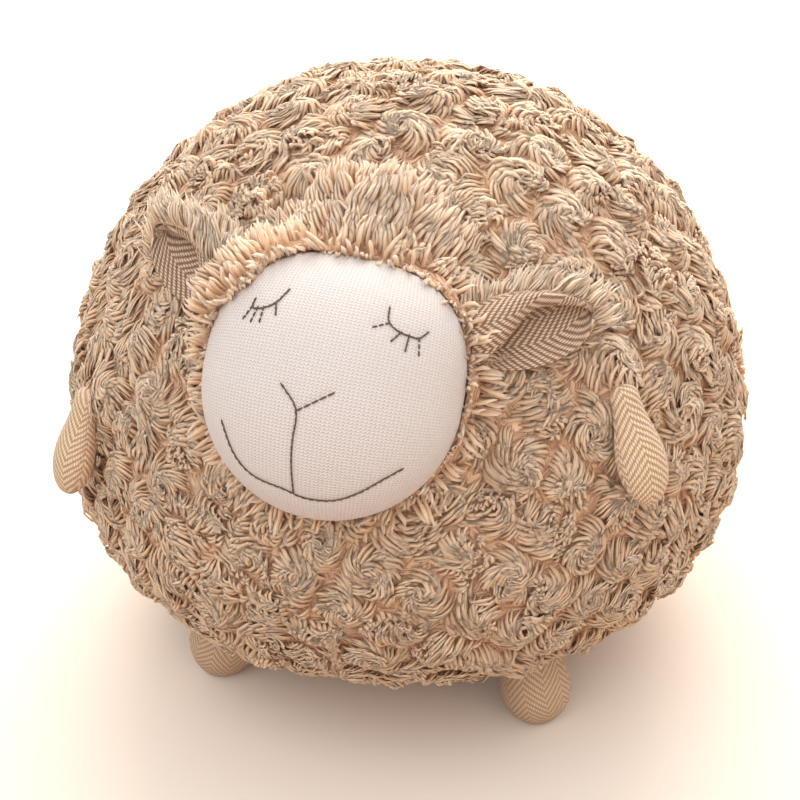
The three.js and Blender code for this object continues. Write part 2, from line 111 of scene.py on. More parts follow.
def ball_level(places):
    """How far out from the middle of the stuffed ball each place lies: 1 is on its surface."""
    x, y, z = ((places - BODY_MIDDLE) @ np.array(BODY_TURN)).T
    fullness = np.where(z > 0, 2, BODY_BASE_FULLNESS)
    height = np.where(z > 0, BODY_CROWN, BODY_BASE)
    level = np.hypot(x / BODY_HALF_WIDTH, y / BODY_HALF_DEPTH)
    return (level ** fullness + np.abs(z / height) ** fullness) ** (1 / fullness)


def vertex_rows(mesh, key="co"):
    """The places, or the normals, of a mesh's vertices, one row each."""
    rows = np.zeros(len(mesh.vertices) * 3)
    mesh.vertices.foreach_get(key, rows)
    return rows.reshape(-1, 3)


def round_blank(name, fineness):
    """A ball of unit radius with even facets, for a soft form to be shaped from."""
    mesh = bpy.data.meshes.new(name)
    shell = bmesh.new()
    bmesh.ops.create_icosphere(shell, subdivisions=fineness, radius=1)
    shell.to_mesh(mesh)
    shell.free()
    mesh.shade_smooth()
    return mesh


def lumps(places, spread, seed):
    """Soft lumps of the stuffing, from -1 to 1, over rows of places."""
    shift = Vector((seed, -seed, seed))
    return np.array([noise.noise(Vector(place) / spread + shift) for place in places])


BODY_MIDDLE = np.zeros(3)
round_ways = vertex_rows(round_blank("round_ways", BODY_FINENESS))
BODY_MIDDLE[2] = -ball_places(round_ways, 0)[:, 2].min() - BODY_RESTING_CUT


def body_surface(turn_degrees, rise_degrees):
    """The place on the ball in a direction from its middle, and the outward normal there."""
    turn, rise = math.radians(turn_degrees), math.radians(rise_degrees)
    way = np.array([math.sin(turn) * math.cos(rise), -math.cos(turn) * math.cos(rise), math.sin(rise)])
    place = BODY_MIDDLE + way / ball_level((BODY_MIDDLE + way)[None])[0]
    step = 0.1 * mm
    slopes = [ball_level((place + step * axis)[None])[0] for axis in np.eye(3)]
    normal = np.array(slopes) - ball_level(place[None])[0]
    return Vector(place), Vector(normal).normalized()


# The head's frame has X across the face, Y up it and Z out of it
HEAD_TURN = Matrix.Rotation(math.radians(90 - 32), 3, "X") @ Matrix.Rotation(math.radians(-4.5), 3, "Z")
HEAD_MIDDLE = body_surface(0, 31.6)[0]
FACE_HALF_WIDTH = 49 * mm
FACE_HALF_HEIGHT = 49 * mm
FACE_DEPTH = 37.5 * mm
BROW_FULLNESS = 2.7
CROWN_HALF = np.array([46, 66, 42]) * mm
CROWN_MIDDLE = np.array([0, 18.5, -31]) * mm
EAR_LENGTH = 48 * mm
EAR_PLACE = np.array([43, 29.5, -9]) * mm
EAR_LIFT = math.radians(20)
EAR_SWEEP = math.radians(17)


def in_head(places):
    """Places in the head's own frame, from places in the sheep's."""
    return (places - np.array(HEAD_MIDDLE)) @ np.array(HEAD_TURN)


def from_head(places):
    """Places in the sheep's frame, from places in the head's own."""
    return places @ np.array(HEAD_TURN).T + np.array(HEAD_MIDDLE)


def ear_frame(side):
    """The place of an ear's root in the sheep's frame, and how the ear is turned."""
    turn = HEAD_TURN @ Matrix.Rotation(side * EAR_LIFT, 3, "Z")
    turn = turn @ Matrix.Rotation(side * EAR_SWEEP, 3, "Y")
    return Vector(from_head((EAR_PLACE * np.array([side, 1, 1]))[None])[0]), turn


def face_level(places, grow=0.0):
    """How far out from the middle of the face's ball each place in the head's frame lies."""
    x, y, z = np.abs(places / (np.array([FACE_HALF_WIDTH, FACE_HALF_HEIGHT, FACE_DEPTH]) + grow)).T
    fullness = np.where(places[:, 1] > 0, BROW_FULLNESS, 2)
    return np.hypot((x ** fullness + y ** fullness) ** (1 / fullness), z)


def crown_level(places, grow=0.0):
    """How far out from the middle of the crown each place in the head's frame lies."""
    return np.linalg.norm((places - CROWN_MIDDLE) / (CROWN_HALF + grow), axis=1)


def put_in_scene(name, mesh):
    """A new object of a mesh, in the scene at its origin."""
    piece = bpy.data.objects.new(name, mesh)
    bpy.context.collection.objects.link(piece)
    return piece


def give_attribute(mesh, name, values):
    """Stores one number, or one row of three, for each vertex of a mesh."""
    kind, key = ("FLOAT_VECTOR", "vector") if values.ndim == 2 else ("FLOAT", "value")
    mesh.attributes.new(name, kind, "POINT").data.foreach_set(key, values.astype(np.float32).ravel())


def shaped_blank(name, places):
    """A round blank with its vertices moved to these places."""
    mesh = round_blank(name, BODY_FINENESS)
    mesh.vertices.foreach_set("co", places.ravel())
    mesh.update()
    return mesh


def body_backing():
    """The knitted backing that the body's pile grows from, most of a pile's length inside the ball."""
    places = ball_places(round_ways, PILE_RISE - PILE) + BODY_MIDDLE
    outward = places - BODY_MIDDLE
    outward /= np.linalg.norm(outward, axis=1)[:, None]
    swell = BODY_LUMP * lumps(places, LUMP_SPREAD, 3)
    near_head = in_head(places + outward * PILE)
    past_head = np.minimum(crown_level(near_head), face_level(near_head)) - 1
    swell -= NECK_GROOVE * np.exp(-np.maximum(past_head, 0) * FACE_HALF_WIDTH / NECK_GROOVE_SPREAD)
    for side, rise in zip((1, -1), ARM_RISES.values()):
        shoulder = np.array(body_surface(side * ARM_TURN, rise)[0]) + np.array([0, 0, SHOULDER_UP])
        apart = np.linalg.norm(places - shoulder, axis=1)
        swell += SHOULDER_RISE * np.exp(-(apart / SHOULDER_SPREAD) ** 2)
        ear_root, ear_turn = ear_frame(side)
        ear_way = np.array(ear_turn @ Vector((side, 0, 0)))
        reach = np.clip((places - np.array(ear_root)) @ ear_way, 0, EAR_LENGTH)
        apart = np.linalg.norm(places - np.array(ear_root) - reach[:, None] * ear_way, axis=1)
        swell -= EAR_HOLLOW * np.exp(-(apart / EAR_HOLLOW_SPREAD) ** 2)
    places += outward * swell[:, None]
    places[:, 2] = np.maximum(places[:, 2], FLOOR_CLEARANCE)
    mesh = shaped_blank("body_backing", places)
    bed_places = in_head(places + outward * PILE * BED_SHARE)
    under_hood = crown_level(bed_places, -CROWN_COVER_INSET) < 1
    under_face = face_level(bed_places, -FACE_COVER_INSET) < 1
    covered = np.where(under_hood | under_face, 0.0, 1.0)
    resting = places[:, 2] < RESTING_PILE_LEVEL
    give_attribute(mesh, "pile_cover", np.where(resting, RESTING_PILE_SHARE, 1) * covered)
    drift = np.stack([lumps(places, DRIFT_SPREAD, seed) for seed in (11, 23, 37)], 1)
    drift -= outward * np.sum(drift * outward, axis=1)[:, None]
    give_attribute(mesh, "comb", drift / np.linalg.norm(drift, axis=1)[:, None])
    give_attribute(mesh, "outward", outward)
    give_attribute(mesh, "bed", BED_SHARE * covered)
    return mesh


def body_rosettes():
    """The middles of the body's rosettes, spread over the ball by the golden angle."""
    area = 4 * math.pi * BODY_HALF_WIDTH * BODY_HALF_DEPTH
    count = round(area / (BODY_ROSETTE_SPACING ** 2 * math.sqrt(3) / 2))
    golden_angle = math.pi * (3 - math.sqrt(5))
    number = np.arange(count)
    height = 1 - (2 * number + 1) / count
    ring = np.sqrt(1 - height ** 2)
    turn = golden_angle * number
    ways = np.stack([ring * np.cos(turn), ring * np.sin(turn), height], 1)
    places = ball_places(ways, -PILE) + BODY_MIDDLE
    stray = [lumps(places, ROSETTE_STRAY, seed) for seed in (41, 43, 47)]
    return places + ROSETTE_STRAY * np.stack(stray, 1)


def scattered(places, spacing, seed):
    """Some of these places, in random order, with no two nearer to each other than a spacing."""
    left = np.random.default_rng(seed).permutation(places)
    kept = []
    while len(left):
        kept.append(left[0])
        left = left[np.linalg.norm(left - left[0], axis=1) > spacing]
    return np.array(kept)


def one_side(mesh, plane_place, plane_normal):
    """The closed part of a solid on the side that a plane faces, with no pile on the cut."""
    part = mesh.copy()
    shell = bmesh.new()
    shell.from_mesh(part)
    everything = shell.verts[:] + shell.edges[:] + shell.faces[:]
    bmesh.ops.bisect_plane(
        shell, geom=everything, plane_co=plane_place, plane_no=plane_normal, clear_inner=True,
    )
    rim = [edge.link_loops[0] for edge in shell.edges if edge.is_boundary]
    middle = sum((step.vert.co for step in rim), Vector()) / len(rim)
    cover = shell.verts.layers.float["pile_cover"]
    hub = shell.verts.new(middle, rim[0].vert)
    hub[cover] = 0
    inner = {}
    for step in rim:
        turn_in = (middle - step.vert.co).normalized() * SEAM_TURN_IN
        inner[step.vert] = shell.verts.new(step.vert.co + turn_in, step.vert)
        inner[step.vert][cover] = 0
    for step in rim:
        start, end = step.vert, step.link_loop_next.vert
        shell.faces.new((end, start, inner[start], inner[end]))
        shell.faces.new((inner[end], inner[start], hub))
    shell.to_mesh(part)
    shell.free()
    part.shade_smooth()
    return part


def colour(hex_code):
    """A linear colour with full alpha from an sRGB hex code."""
    parts = [int(hex_code[i:i + 2], 16) / 255 for i in (1, 3, 5)]
    return (*[v / 12.92 if v <= 0.04045 else ((v + 0.055) / 1.055) ** 2.4 for v in parts], 1)


def add_node(tree, kind, *inputs, named=None, stops=(), **settings):
    """Adds a node with its settings, its inputs in order or by name, and a ramp's colour stops."""
    node = tree.nodes.new(kind)
    for name, value in settings.items():
        setattr(node, name, value)
    sockets = [socket for socket in node.inputs if socket.enabled]
    given = list(zip(sockets, inputs))
    given += [(node.inputs[name], value) for name, value in (named or {}).items()]
    for socket, value in given:
        if isinstance(value, bpy.types.Node):
            value = next(output for output in value.outputs if output.enabled)
        if isinstance(value, bpy.types.NodeSocket):
            tree.links.new(value, socket)
        elif value is not None:
            socket.default_value = value
    for number, (place, hex_code) in enumerate(stops):
        while len(node.color_ramp.elements) <= number:
            node.color_ramp.elements.new(1)
        node.color_ramp.elements[number].position = place
        node.color_ramp.elements[number].color = colour(hex_code)
    return node


def new_material(name, **finish):
    """A material, its node tree and its shader, with the shader's own plain values."""
    material = bpy.data.materials.new(name)
    material.use_nodes = True
    shader = material.node_tree.nodes["Principled BSDF"]
    for key, value in finish.items():
        shader.inputs[key.replace("_", " ")].default_value = value
    return material, material.node_tree, shader


def finish_surface(tree, shader, base, height, strength, depth):
    """Gives a shader its colour, and a bump from a height that runs from 0 to a depth."""
    bump = add_node(
        tree, "ShaderNodeBump", named={"Strength": strength, "Distance": depth, "Height": height},
    )
    tree.links.new(base.outputs["Color"], shader.inputs["Base Color"])
    tree.links.new(bump.outputs["Normal"], shader.inputs["Normal"])


LIGHT_DEPTH = 2 * mm
STREAK_DEPTH = 0.4 * mm
STREAKS_ROUND = 16.0
BED_FIBRE_DEPTH = 1 * mm
BED_FIBRE_FINENESS = 1100.0


# Polyester plush, tumble-set in rosettes. The pile is matt. Along each lock its colour is painted darker
# towards the root, as painted shade where little light gets in between the locks, and paler towards the
# tip, as a painted highlight where the light catches it. A lock shows its fibres as fine streaks, drawn
# 0.4 mm apart, about twice as coarse as the real ones.
def plush_material(name, root, middle, tip):
    material, tree, shader = new_material(
        name, Roughness=0.9, Sheen_Weight=0.2, Sheen_Tint=colour("#FFDDBB"), Specular_IOR_Level=0.25,
        Subsurface_Weight=0.8, Subsurface_Radius=(1.0, 1.0, 1.0), Subsurface_Scale=LIGHT_DEPTH,
    )
    along = add_node(tree, "ShaderNodeAttribute", attribute_name="along").outputs["Fac"]
    tone = add_node(tree, "ShaderNodeAttribute", attribute_name="tone").outputs["Fac"]
    girth = add_node(tree, "ShaderNodeAttribute", attribute_name="girth").outputs["Fac"]
    place = add_node(tree, "ShaderNodeTexCoord").outputs["Object"]
    # Painted shade and highlight: the colour runs from darker at a lock's root to paler at its tip.
    base = add_node(
        tree, "ShaderNodeValToRGB", along, stops=((0.0, root), (0.35, middle), (1.0, tip)),
    )
    across = add_node(tree, "ShaderNodeMath", girth, STREAKS_ROUND, operation="MULTIPLY")
    down = add_node(tree, "ShaderNodeMath", along, 1.3, operation="MULTIPLY")
    own = add_node(tree, "ShaderNodeMath", tone, 40.0, operation="MULTIPLY")
    strand_place = add_node(tree, "ShaderNodeCombineXYZ", across, down, own)
    strands = add_node(
        tree, "ShaderNodeTexNoise", named={"Vector": strand_place, "Scale": 1.0, "Detail": 2.0},
    )
    strand_shade = add_node(tree, "ShaderNodeMapRange", strands, 0.3, 0.7, 0.84, 1.16)
    lock_shade = add_node(tree, "ShaderNodeMapRange", tone, 0.0, 1.0, 0.86, 1.1)
    patch = add_node(tree, "ShaderNodeTexNoise", named={"Vector": place, "Scale": 28.0, "Detail": 2.0})
    patch_shade = add_node(tree, "ShaderNodeMapRange", patch, 0.3, 0.7, 0.9, 1.06)
    shade = add_node(tree, "ShaderNodeMath", strand_shade, lock_shade, operation="MULTIPLY")
    shade = add_node(tree, "ShaderNodeMath", shade, patch_shade, operation="MULTIPLY")
    shaded = add_node(tree, "ShaderNodeHueSaturation", named={"Value": shade, "Color": base})
    finish_surface(tree, shader, shaded, strands, 0.8, STREAK_DEPTH)
    return material


# The bed is the same polyester pile, short and dense; its colour is painted darker than the locks', as
# painted shade between the tufts. Its fibres run round the rosettes and are drawn 1 mm apart, three
# times as coarse as the real ones.
def bed_material(name, dark, pale):
    material, tree, shader = new_material(name, Roughness=0.95, Specular_IOR_Level=0.1)
    place = add_node(tree, "ShaderNodeTexCoord").outputs["Object"]
    ring = add_node(tree, "ShaderNodeAttribute", attribute_name="ring").outputs["Fac"]
    spot = add_node(tree, "ShaderNodeVectorMath", place, named={"Scale": 160.0}, operation="SCALE")
    streak = add_node(tree, "ShaderNodeMath", ring, BED_FIBRE_FINENESS, operation="MULTIPLY")
    streak = add_node(tree, "ShaderNodeCombineXYZ", streak, streak, streak)
    spot = add_node(tree, "ShaderNodeVectorMath", spot, streak, operation="ADD")
    fibres = add_node(
        tree, "ShaderNodeTexNoise", named={"Vector": spot, "Scale": 1.0, "Detail": 3.0},
    ).outputs[0]
    # Painted shade: the dark end is darker than any part of the locks above the bed.
    bed = add_node(tree, "ShaderNodeValToRGB", fibres, stops=((0.4, dark), (0.6, pale)))
    finish_surface(tree, shader, bed, fibres, 0.9, BED_FIBRE_DEPTH)
    return material


LOCK_POINTS = 5
LOCK_SIDES = 3
LOCK_FLATNESS = 0.35
TUFT_GATHER = 0.6
ROSETTE_REACH = 0.58
ROSETTE_DIP = 0.45
TIGHTEST_CURL = 4 * mm
CURL_DRAW = 0.45


def curly_pile():
    """The node tree that grows tufts of pile over a backing, curled round the middles of rosettes."""
    tree = bpy.data.node_groups.new("curly_pile", "GeometryNodeTree")
    sockets = [("Geometry", "NodeSocketGeometry"), ("Rosettes", "NodeSocketObject")]
    sockets += [(name, "NodeSocketFloat") for name in (
        "Rosette spacing", "Tuft spacing", "Lock spacing", "Lock length", "Lock radius", "Pile",
        "Swirl", "Frizz",
    )]
    sockets += [("Seed", "NodeSocketInt")]
    sockets += [("Pile material", "NodeSocketMaterial"), ("Bed material", "NodeSocketMaterial")]
    for name, kind in sockets:
        tree.interface.new_socket(name, in_out="INPUT", socket_type=kind)
    tree.interface.new_socket("Geometry", in_out="OUTPUT", socket_type="NodeSocketGeometry")
    given = tree.nodes.new("NodeGroupInput").outputs
    backing = given["Geometry"]
    maths, vectors = "ShaderNodeMath", "ShaderNodeVectorMath"

    # The rosettes' middles, the tufts' roots, and the roots of the locks that the tufts gather
    cover = add_node(tree, "GeometryNodeInputNamedAttribute", "pile_cover", data_type="FLOAT")
    middles = add_node(tree, "GeometryNodeObjectInfo", given["Rosettes"]).outputs["Geometry"]
    tufts, roots = [
        add_node(
            tree, "GeometryNodeDistributePointsOnFaces", distribute_method="POISSON",
            named={"Mesh": backing, "Distance Min": given[name], "Density Max": density,
                   "Density Factor": factor, "Seed": given["Seed"]},
        )
        for name, density, factor in (
            ("Tuft spacing", 200000.0, None), ("Lock spacing", 900000.0, cover),
        )
    ]
    place = add_node(tree, "GeometryNodeInputPosition")
    tuft = add_node(tree, "GeometryNodeSampleNearest", tufts, place)
    tuft_place = add_node(
        tree, "GeometryNodeSampleIndex", tufts, place, tuft, data_type="FLOAT_VECTOR",
    )
    rosette = add_node(tree, "GeometryNodeSampleNearest", middles, tuft_place)
    middle = add_node(
        tree, "GeometryNodeSampleIndex", middles, place, rosette, data_type="FLOAT_VECTOR",
    )

    # What a tuft's locks share, with a little of each lock's own
    own_tone = add_node(tree, "FunctionNodeRandomValue", 0.0, 0.35, None, 11)
    tuft_tone = add_node(tree, "FunctionNodeRandomValue", 0.0, 0.65, tuft, 12)
    own_reach = add_node(tree, "FunctionNodeRandomValue", 0.78, 1.12, None, 13)
    tuft_reach = add_node(tree, "FunctionNodeRandomValue", 0.75, 1.15, tuft, 14)
    handed = add_node(tree, "FunctionNodeRandomValue", -1.0, 1.0, rosette, 15)
    curl = add_node(tree, "FunctionNodeRandomValue", 0.5, 1.2, rosette, 16)
    locks = roots.outputs["Points"]
    for name, kind, value in (
        ("root", "FLOAT_VECTOR", tuft_place),
        ("spread", "FLOAT_VECTOR", add_node(tree, vectors, place, tuft_place, operation="SUBTRACT")),
        ("grain", "FLOAT_VECTOR", roots.outputs["Normal"]),
        ("middle", "FLOAT_VECTOR", middle),
        ("handed", "FLOAT", add_node(tree, maths, handed, operation="SIGN")),
        ("curl", "FLOAT", add_node(tree, maths, curl, given["Swirl"], operation="MULTIPLY")),
        ("tone", "FLOAT", add_node(tree, maths, own_tone, tuft_tone, operation="ADD")),
        ("reach", "FLOAT", add_node(tree, maths, own_reach, tuft_reach, operation="MULTIPLY")),
        ("stand", "FLOAT", add_node(tree, "FunctionNodeRandomValue", 0.65, 1.1, tuft, 17)),
    ):
        locks = add_node(
            tree, "GeometryNodeStoreNamedAttribute", locks, None, name, value, data_type=kind,
        )
    line = add_node(tree, "GeometryNodeCurvePrimitiveLine", named={"End": (0, 0, mm)})
    line = add_node(tree, "GeometryNodeResampleCurve", named={"Curve": line, "Count": LOCK_POINTS})
    locks = add_node(tree, "GeometryNodeInstanceOnPoints", named={"Points": locks, "Instance": line})
    locks = add_node(tree, "GeometryNodeRealizeInstances", locks)
    share = add_node(tree, "GeometryNodeSplineParameter").outputs["Factor"]
    locks = add_node(
        tree, "GeometryNodeStoreNamedAttribute", locks, None, "along", share, data_type="FLOAT",
    )
    kept = {
        name: add_node(tree, "GeometryNodeInputNamedAttribute", name, data_type=kind)
        for kind, names in (
            ("FLOAT_VECTOR", ("root", "spread", "grain", "middle", "comb", "outward", "spine")),
            ("FLOAT", ("bed", "handed", "curl", "reach", "stand", "along")),
        ) for name in names
    }

    def dome(distance):
        """A rosette's height: it stands highest at its middle, and dips where it meets the next."""
        share = add_node(tree, maths, distance, given["Rosette spacing"], operation="DIVIDE")
        share = add_node(tree, maths, share, ROSETTE_REACH, operation="DIVIDE")
        share = add_node(tree, maths, share, 1.0, operation="MINIMUM")
        share = add_node(tree, maths, share, 2.0, operation="POWER")
        return add_node(tree, maths, share, -ROSETTE_DIP, 1.0, operation="MULTIPLY_ADD")

    def above_floor(spot):
        """A place kept clear of the floor."""
        parts = add_node(tree, "ShaderNodeSeparateXYZ", spot)
        level = add_node(tree, maths, parts.outputs["Z"], FLOOR_CLEARANCE, operation="MAXIMUM")
        return add_node(tree, "ShaderNodeCombineXYZ", parts.outputs["X"], parts.outputs["Y"], level)

    # The bed: the short dense pile between the tufts, which closes over the backing
    nearest = add_node(tree, "GeometryNodeSampleNearest", middles, place)
    nearest = add_node(
        tree, "GeometryNodeSampleIndex", middles, place, nearest, data_type="FLOAT_VECTOR",
    )
    distance = add_node(tree, vectors, place, nearest, operation="DISTANCE").outputs["Value"]
    swell = add_node(tree, maths, dome(distance), given["Pile"], operation="MULTIPLY")
    swell = add_node(tree, maths, swell, kept["bed"], operation="MULTIPLY")
    swell = add_node(tree, vectors, kept["outward"], named={"Scale": swell}, operation="SCALE")
    swollen = above_floor(add_node(tree, vectors, place, swell, operation="ADD"))
    bed = add_node(
        tree, "GeometryNodeStoreNamedAttribute", backing, None, "ring", distance, data_type="FLOAT",
    )
    bed = add_node(tree, "GeometryNodeSetPosition", bed, None, swollen)
    bed = add_node(
        tree, "GeometryNodeSetMaterial", named={"Geometry": bed, "Material": given["Bed material"]},
    )

    # Round the rosette: a tuft leaves its root, turns about the middle and draws in towards it
    out = add_node(tree, vectors, kept["root"], kept["middle"], operation="SUBTRACT")
    rise = add_node(tree, vectors, out, kept["grain"], operation="DOT_PRODUCT").outputs["Value"]
    rise = add_node(tree, vectors, kept["grain"], named={"Scale": rise}, operation="SCALE")
    out = add_node(tree, vectors, out, rise, operation="SUBTRACT")
    radius = add_node(tree, vectors, out, operation="LENGTH").outputs["Value"]
    outward = add_node(tree, vectors, out, operation="NORMALIZE")
    sideways = add_node(tree, vectors, kept["grain"], outward, operation="CROSS_PRODUCT")
    sideways = add_node(tree, vectors, sideways, named={"Scale": kept["handed"]}, operation="SCALE")
    length = add_node(tree, maths, given["Lock length"], kept["reach"], operation="MULTIPLY")
    travel = add_node(tree, maths, length, kept["along"], operation="MULTIPLY")
    tightest = add_node(tree, maths, radius, TIGHTEST_CURL, operation="MAXIMUM")
    angle = add_node(tree, maths, travel, tightest, operation="DIVIDE")
    draw = add_node(tree, maths, kept["along"], -CURL_DRAW, 1.0, operation="MULTIPLY_ADD")
    ring = add_node(tree, maths, tightest, draw, operation="MULTIPLY")
    cosine = add_node(tree, maths, angle, operation="COSINE")
    out_by = add_node(tree, maths, ring, cosine, operation="MULTIPLY")
    out_by = add_node(tree, maths, out_by, tightest, operation="SUBTRACT")
    sine = add_node(tree, maths, angle, operation="SINE")
    side_by = add_node(tree, maths, ring, sine, operation="MULTIPLY")
    out_by = add_node(tree, vectors, outward, named={"Scale": out_by}, operation="SCALE")
    side_by = add_node(tree, vectors, sideways, named={"Scale": side_by}, operation="SCALE")
    curled = add_node(tree, vectors, out_by, side_by, operation="ADD")
    combed = add_node(tree, vectors, kept["comb"], named={"Scale": travel}, operation="SCALE")
    bend = add_node(tree, "ShaderNodeMix", kept["curl"], combed, curled, data_type="VECTOR")

    # The locks of a tuft draw together towards its tip, and arch up out of the bed and over
    apart = add_node(tree, maths, kept["along"], -TUFT_GATHER, 1.0, operation="MULTIPLY_ADD")
    apart = add_node(tree, vectors, kept["spread"], named={"Scale": apart}, operation="SCALE")
    arch = add_node(tree, maths, kept["along"], 0.75, operation="POWER")
    arch = add_node(tree, maths, arch, 2.3, operation="MULTIPLY")
    arch = add_node(tree, maths, arch, operation="SINE")
    arch = add_node(tree, maths, arch, kept["stand"], operation="MULTIPLY")
    lift = add_node(tree, maths, arch, 1 - BED_SHARE, kept["bed"], operation="MULTIPLY_ADD")
    lift = add_node(tree, maths, lift, dome(radius), operation="MULTIPLY")
    lift = add_node(tree, maths, lift, given["Pile"], operation="MULTIPLY")
    lift = add_node(tree, vectors, kept["grain"], named={"Scale": lift}, operation="SCALE")
    spine = add_node(tree, vectors, kept["root"], bend, operation="ADD")
    spine = add_node(tree, vectors, spine, apart, operation="ADD")
    spine = add_node(tree, vectors, spine, lift, operation="ADD")
    stray = add_node(tree, "ShaderNodeTexNoise", named={"Vector": spine, "Scale": 110.0, "Detail": 1.0})
    stray = add_node(tree, vectors, stray.outputs["Color"], (0.5, 0.5, 0.5), operation="SUBTRACT")
    amount = add_node(tree, maths, given["Frizz"], kept["along"], operation="MULTIPLY")
    stray = add_node(tree, vectors, stray, named={"Scale": amount}, operation="SCALE")
    spine = above_floor(add_node(tree, vectors, spine, stray, operation="ADD"))
    locks = add_node(tree, "GeometryNodeSetPosition", locks, None, spine)
    locks = add_node(
        tree, "GeometryNodeStoreNamedAttribute", locks, None, "spine", place, data_type="FLOAT_VECTOR",
    )

    # A lock is flat, broadest above its root and drawn to a point, and lies flat on the bed
    taper = add_node(tree, maths, kept["along"], 2.5, 0.55, operation="MULTIPLY_ADD")
    taper = add_node(tree, maths, taper, operation="SINE")
    taper = add_node(tree, maths, taper, 0.06, operation="MAXIMUM")
    taper = add_node(tree, maths, taper, given["Lock radius"], operation="MULTIPLY")
    outline = add_node(
        tree, "GeometryNodeCurvePrimitiveCircle", named={"Resolution": LOCK_SIDES, "Radius": 1.0},
    )
    round_share = add_node(tree, "GeometryNodeSplineParameter").outputs["Factor"]
    outline = add_node(
        tree, "GeometryNodeStoreNamedAttribute", outline, None, "girth", round_share, data_type="FLOAT",
    )
    locks = add_node(
        tree, "GeometryNodeCurveToMesh",
        named={"Curve": locks, "Profile Curve": outline, "Scale": taper, "Fill Caps": True},
    )
    side = add_node(tree, vectors, place, kept["spine"], operation="SUBTRACT")
    height = add_node(tree, vectors, side, kept["grain"], operation="DOT_PRODUCT").outputs["Value"]
    height = add_node(tree, maths, height, LOCK_FLATNESS - 1, operation="MULTIPLY")
    flatten = add_node(tree, vectors, kept["grain"], named={"Scale": height}, operation="SCALE")
    locks = add_node(tree, "GeometryNodeSetPosition", locks, named={"Offset": flatten})
    locks = add_node(tree, "GeometryNodeSetShadeSmooth", locks)
    locks = add_node(
        tree, "GeometryNodeSetMaterial", named={"Geometry": locks, "Material": given["Pile material"]},
    )
    whole = add_node(tree, "GeometryNodeJoinGeometry", locks)
    tree.links.new(bed.outputs[0], whole.inputs[0])
    whole = add_node(tree, "GeometryNodeRealizeInstances", whole)
    add_node(tree, "NodeGroupOutput", whole)
    return tree


def spot_cloud(name, places):
    """A helper object whose vertices mark these places, for a node tree to read."""
    mesh = bpy.data.meshes.new(name)
    mesh.from_pydata(places.tolist(), [], [])
    return put_in_scene(name, mesh)


def made_by(tree, name, mesh, values):
    """An object made from a mesh by a node tree with these inputs, as a plain mesh."""
    piece = put_in_scene(name, mesh)
    modifier = piece.modifiers.new("tree", "NODES")
    modifier.node_group = tree
    for socket in tree.interface.items_tree:
        if socket.in_out == "INPUT" and socket.name in values:
            modifier[socket.identifier] = values[socket.name]
    evaluated = piece.evaluated_get(bpy.context.evaluated_depsgraph_get())
    made = bpy.data.meshes.new_from_object(evaluated)
    piece.modifiers.remove(modifier)
    piece.data = made
    return piece


pile_tree = curly_pile()
body_plush = plush_material("curly_plush", "#DDB596", "#F5CFB0", "#FFE3C8")
# The bed's dark colour is painted shade between the tufts.
shaded_plush_bed = bed_material("shaded_plush_bed", "#AC8A70", "#E8C8AC")
body_cloud = spot_cloud("body_rosettes", body_rosettes())
body_pile = {
    "Rosettes": body_cloud, "Rosette spacing": BODY_ROSETTE_SPACING, "Tuft spacing": 4.6 * mm,
    "Lock spacing": 1.6 * mm, "Lock length": 16 * mm, "Lock radius": 1.15 * mm, "Pile": PILE,
    "Swirl": 0.85, "Frizz": 8 * mm, "Seed": 7, "Pile material": body_plush, "Bed material": shaded_plush_bed,
}
whole_backing = body_backing()
seam_forward = BODY_TURN @ Vector((0, -1, 0))
seam_place = Vector(BODY_MIDDLE) + seam_forward * FRONT_SEAM_DEPTH
for name, side, nodes in (
    ("body_front", 1, ("body_front_cover",)),
    ("body_back", -1, ("body_back_cover", "body_filling")),
):
    facing = seam_forward * side
    backing = one_side(whole_backing, seam_place + facing * SEAM_PARTING, facing)
    piece = made_by(pile_tree, name, backing, body_pile)
    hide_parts(*nodes)
    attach(piece, "body")
bpy.data.objects.remove(body_cloud)

# The head's hood
# The same plush, cut longer, sewn into a hood: a full crown above the brow and a collar that
# closes round the face. It is stitched down on the body and stuffed with it.

HOOD_PILE = 9 * mm
HOOD_ROSETTE_SPACING = 17 * mm
CROWN_RISE = 3 * mm
HOOD_LUMP = 1.2 * mm
HOOD_LUMP_SPREAD = 18 * mm
HOOD_START = np.array([0, 6, -16]) * mm
SEAM_SETBACK = 2 * mm
SEAM_TILT = math.radians(6)
COLLAR_STAND = 0.1 * mm
COLLAR_OVERHANG = 2.5 * mm
HOOD_FRONT_SETBACK = 7 * mm
HOOD_RIM = 7 * mm
BROW_COVER = 16 * mm
BROW_COVER_TURN = math.radians(140)
BROW_COVER_SPREAD = math.radians(26)
HOOD_COMB_SLOPES = (-0.3, 0.8)
HOOD_COMB_SPREADS = (1, 0.15)
seam_out = np.array([0, -math.sin(SEAM_TILT), math.cos(SEAM_TILT)])


def past_seam(places):
    """How far in front of the face's seam each place in the head's frame lies."""
    return places @ seam_out + SEAM_SETBACK


def shell_reach(level_of):
    """How far each round way goes from the hood's start before it leaves a form."""
    near = np.zeros(len(round_ways))
    far = np.full(len(round_ways), BODY_HALF_WIDTH)
    for _ in range(30):
        half = (near + far) / 2
        inside = level_of(HOOD_START + round_ways * half[:, None]) < 1
        near = np.where(inside, half, near)
        far = np.where(inside, far, half)
    return near


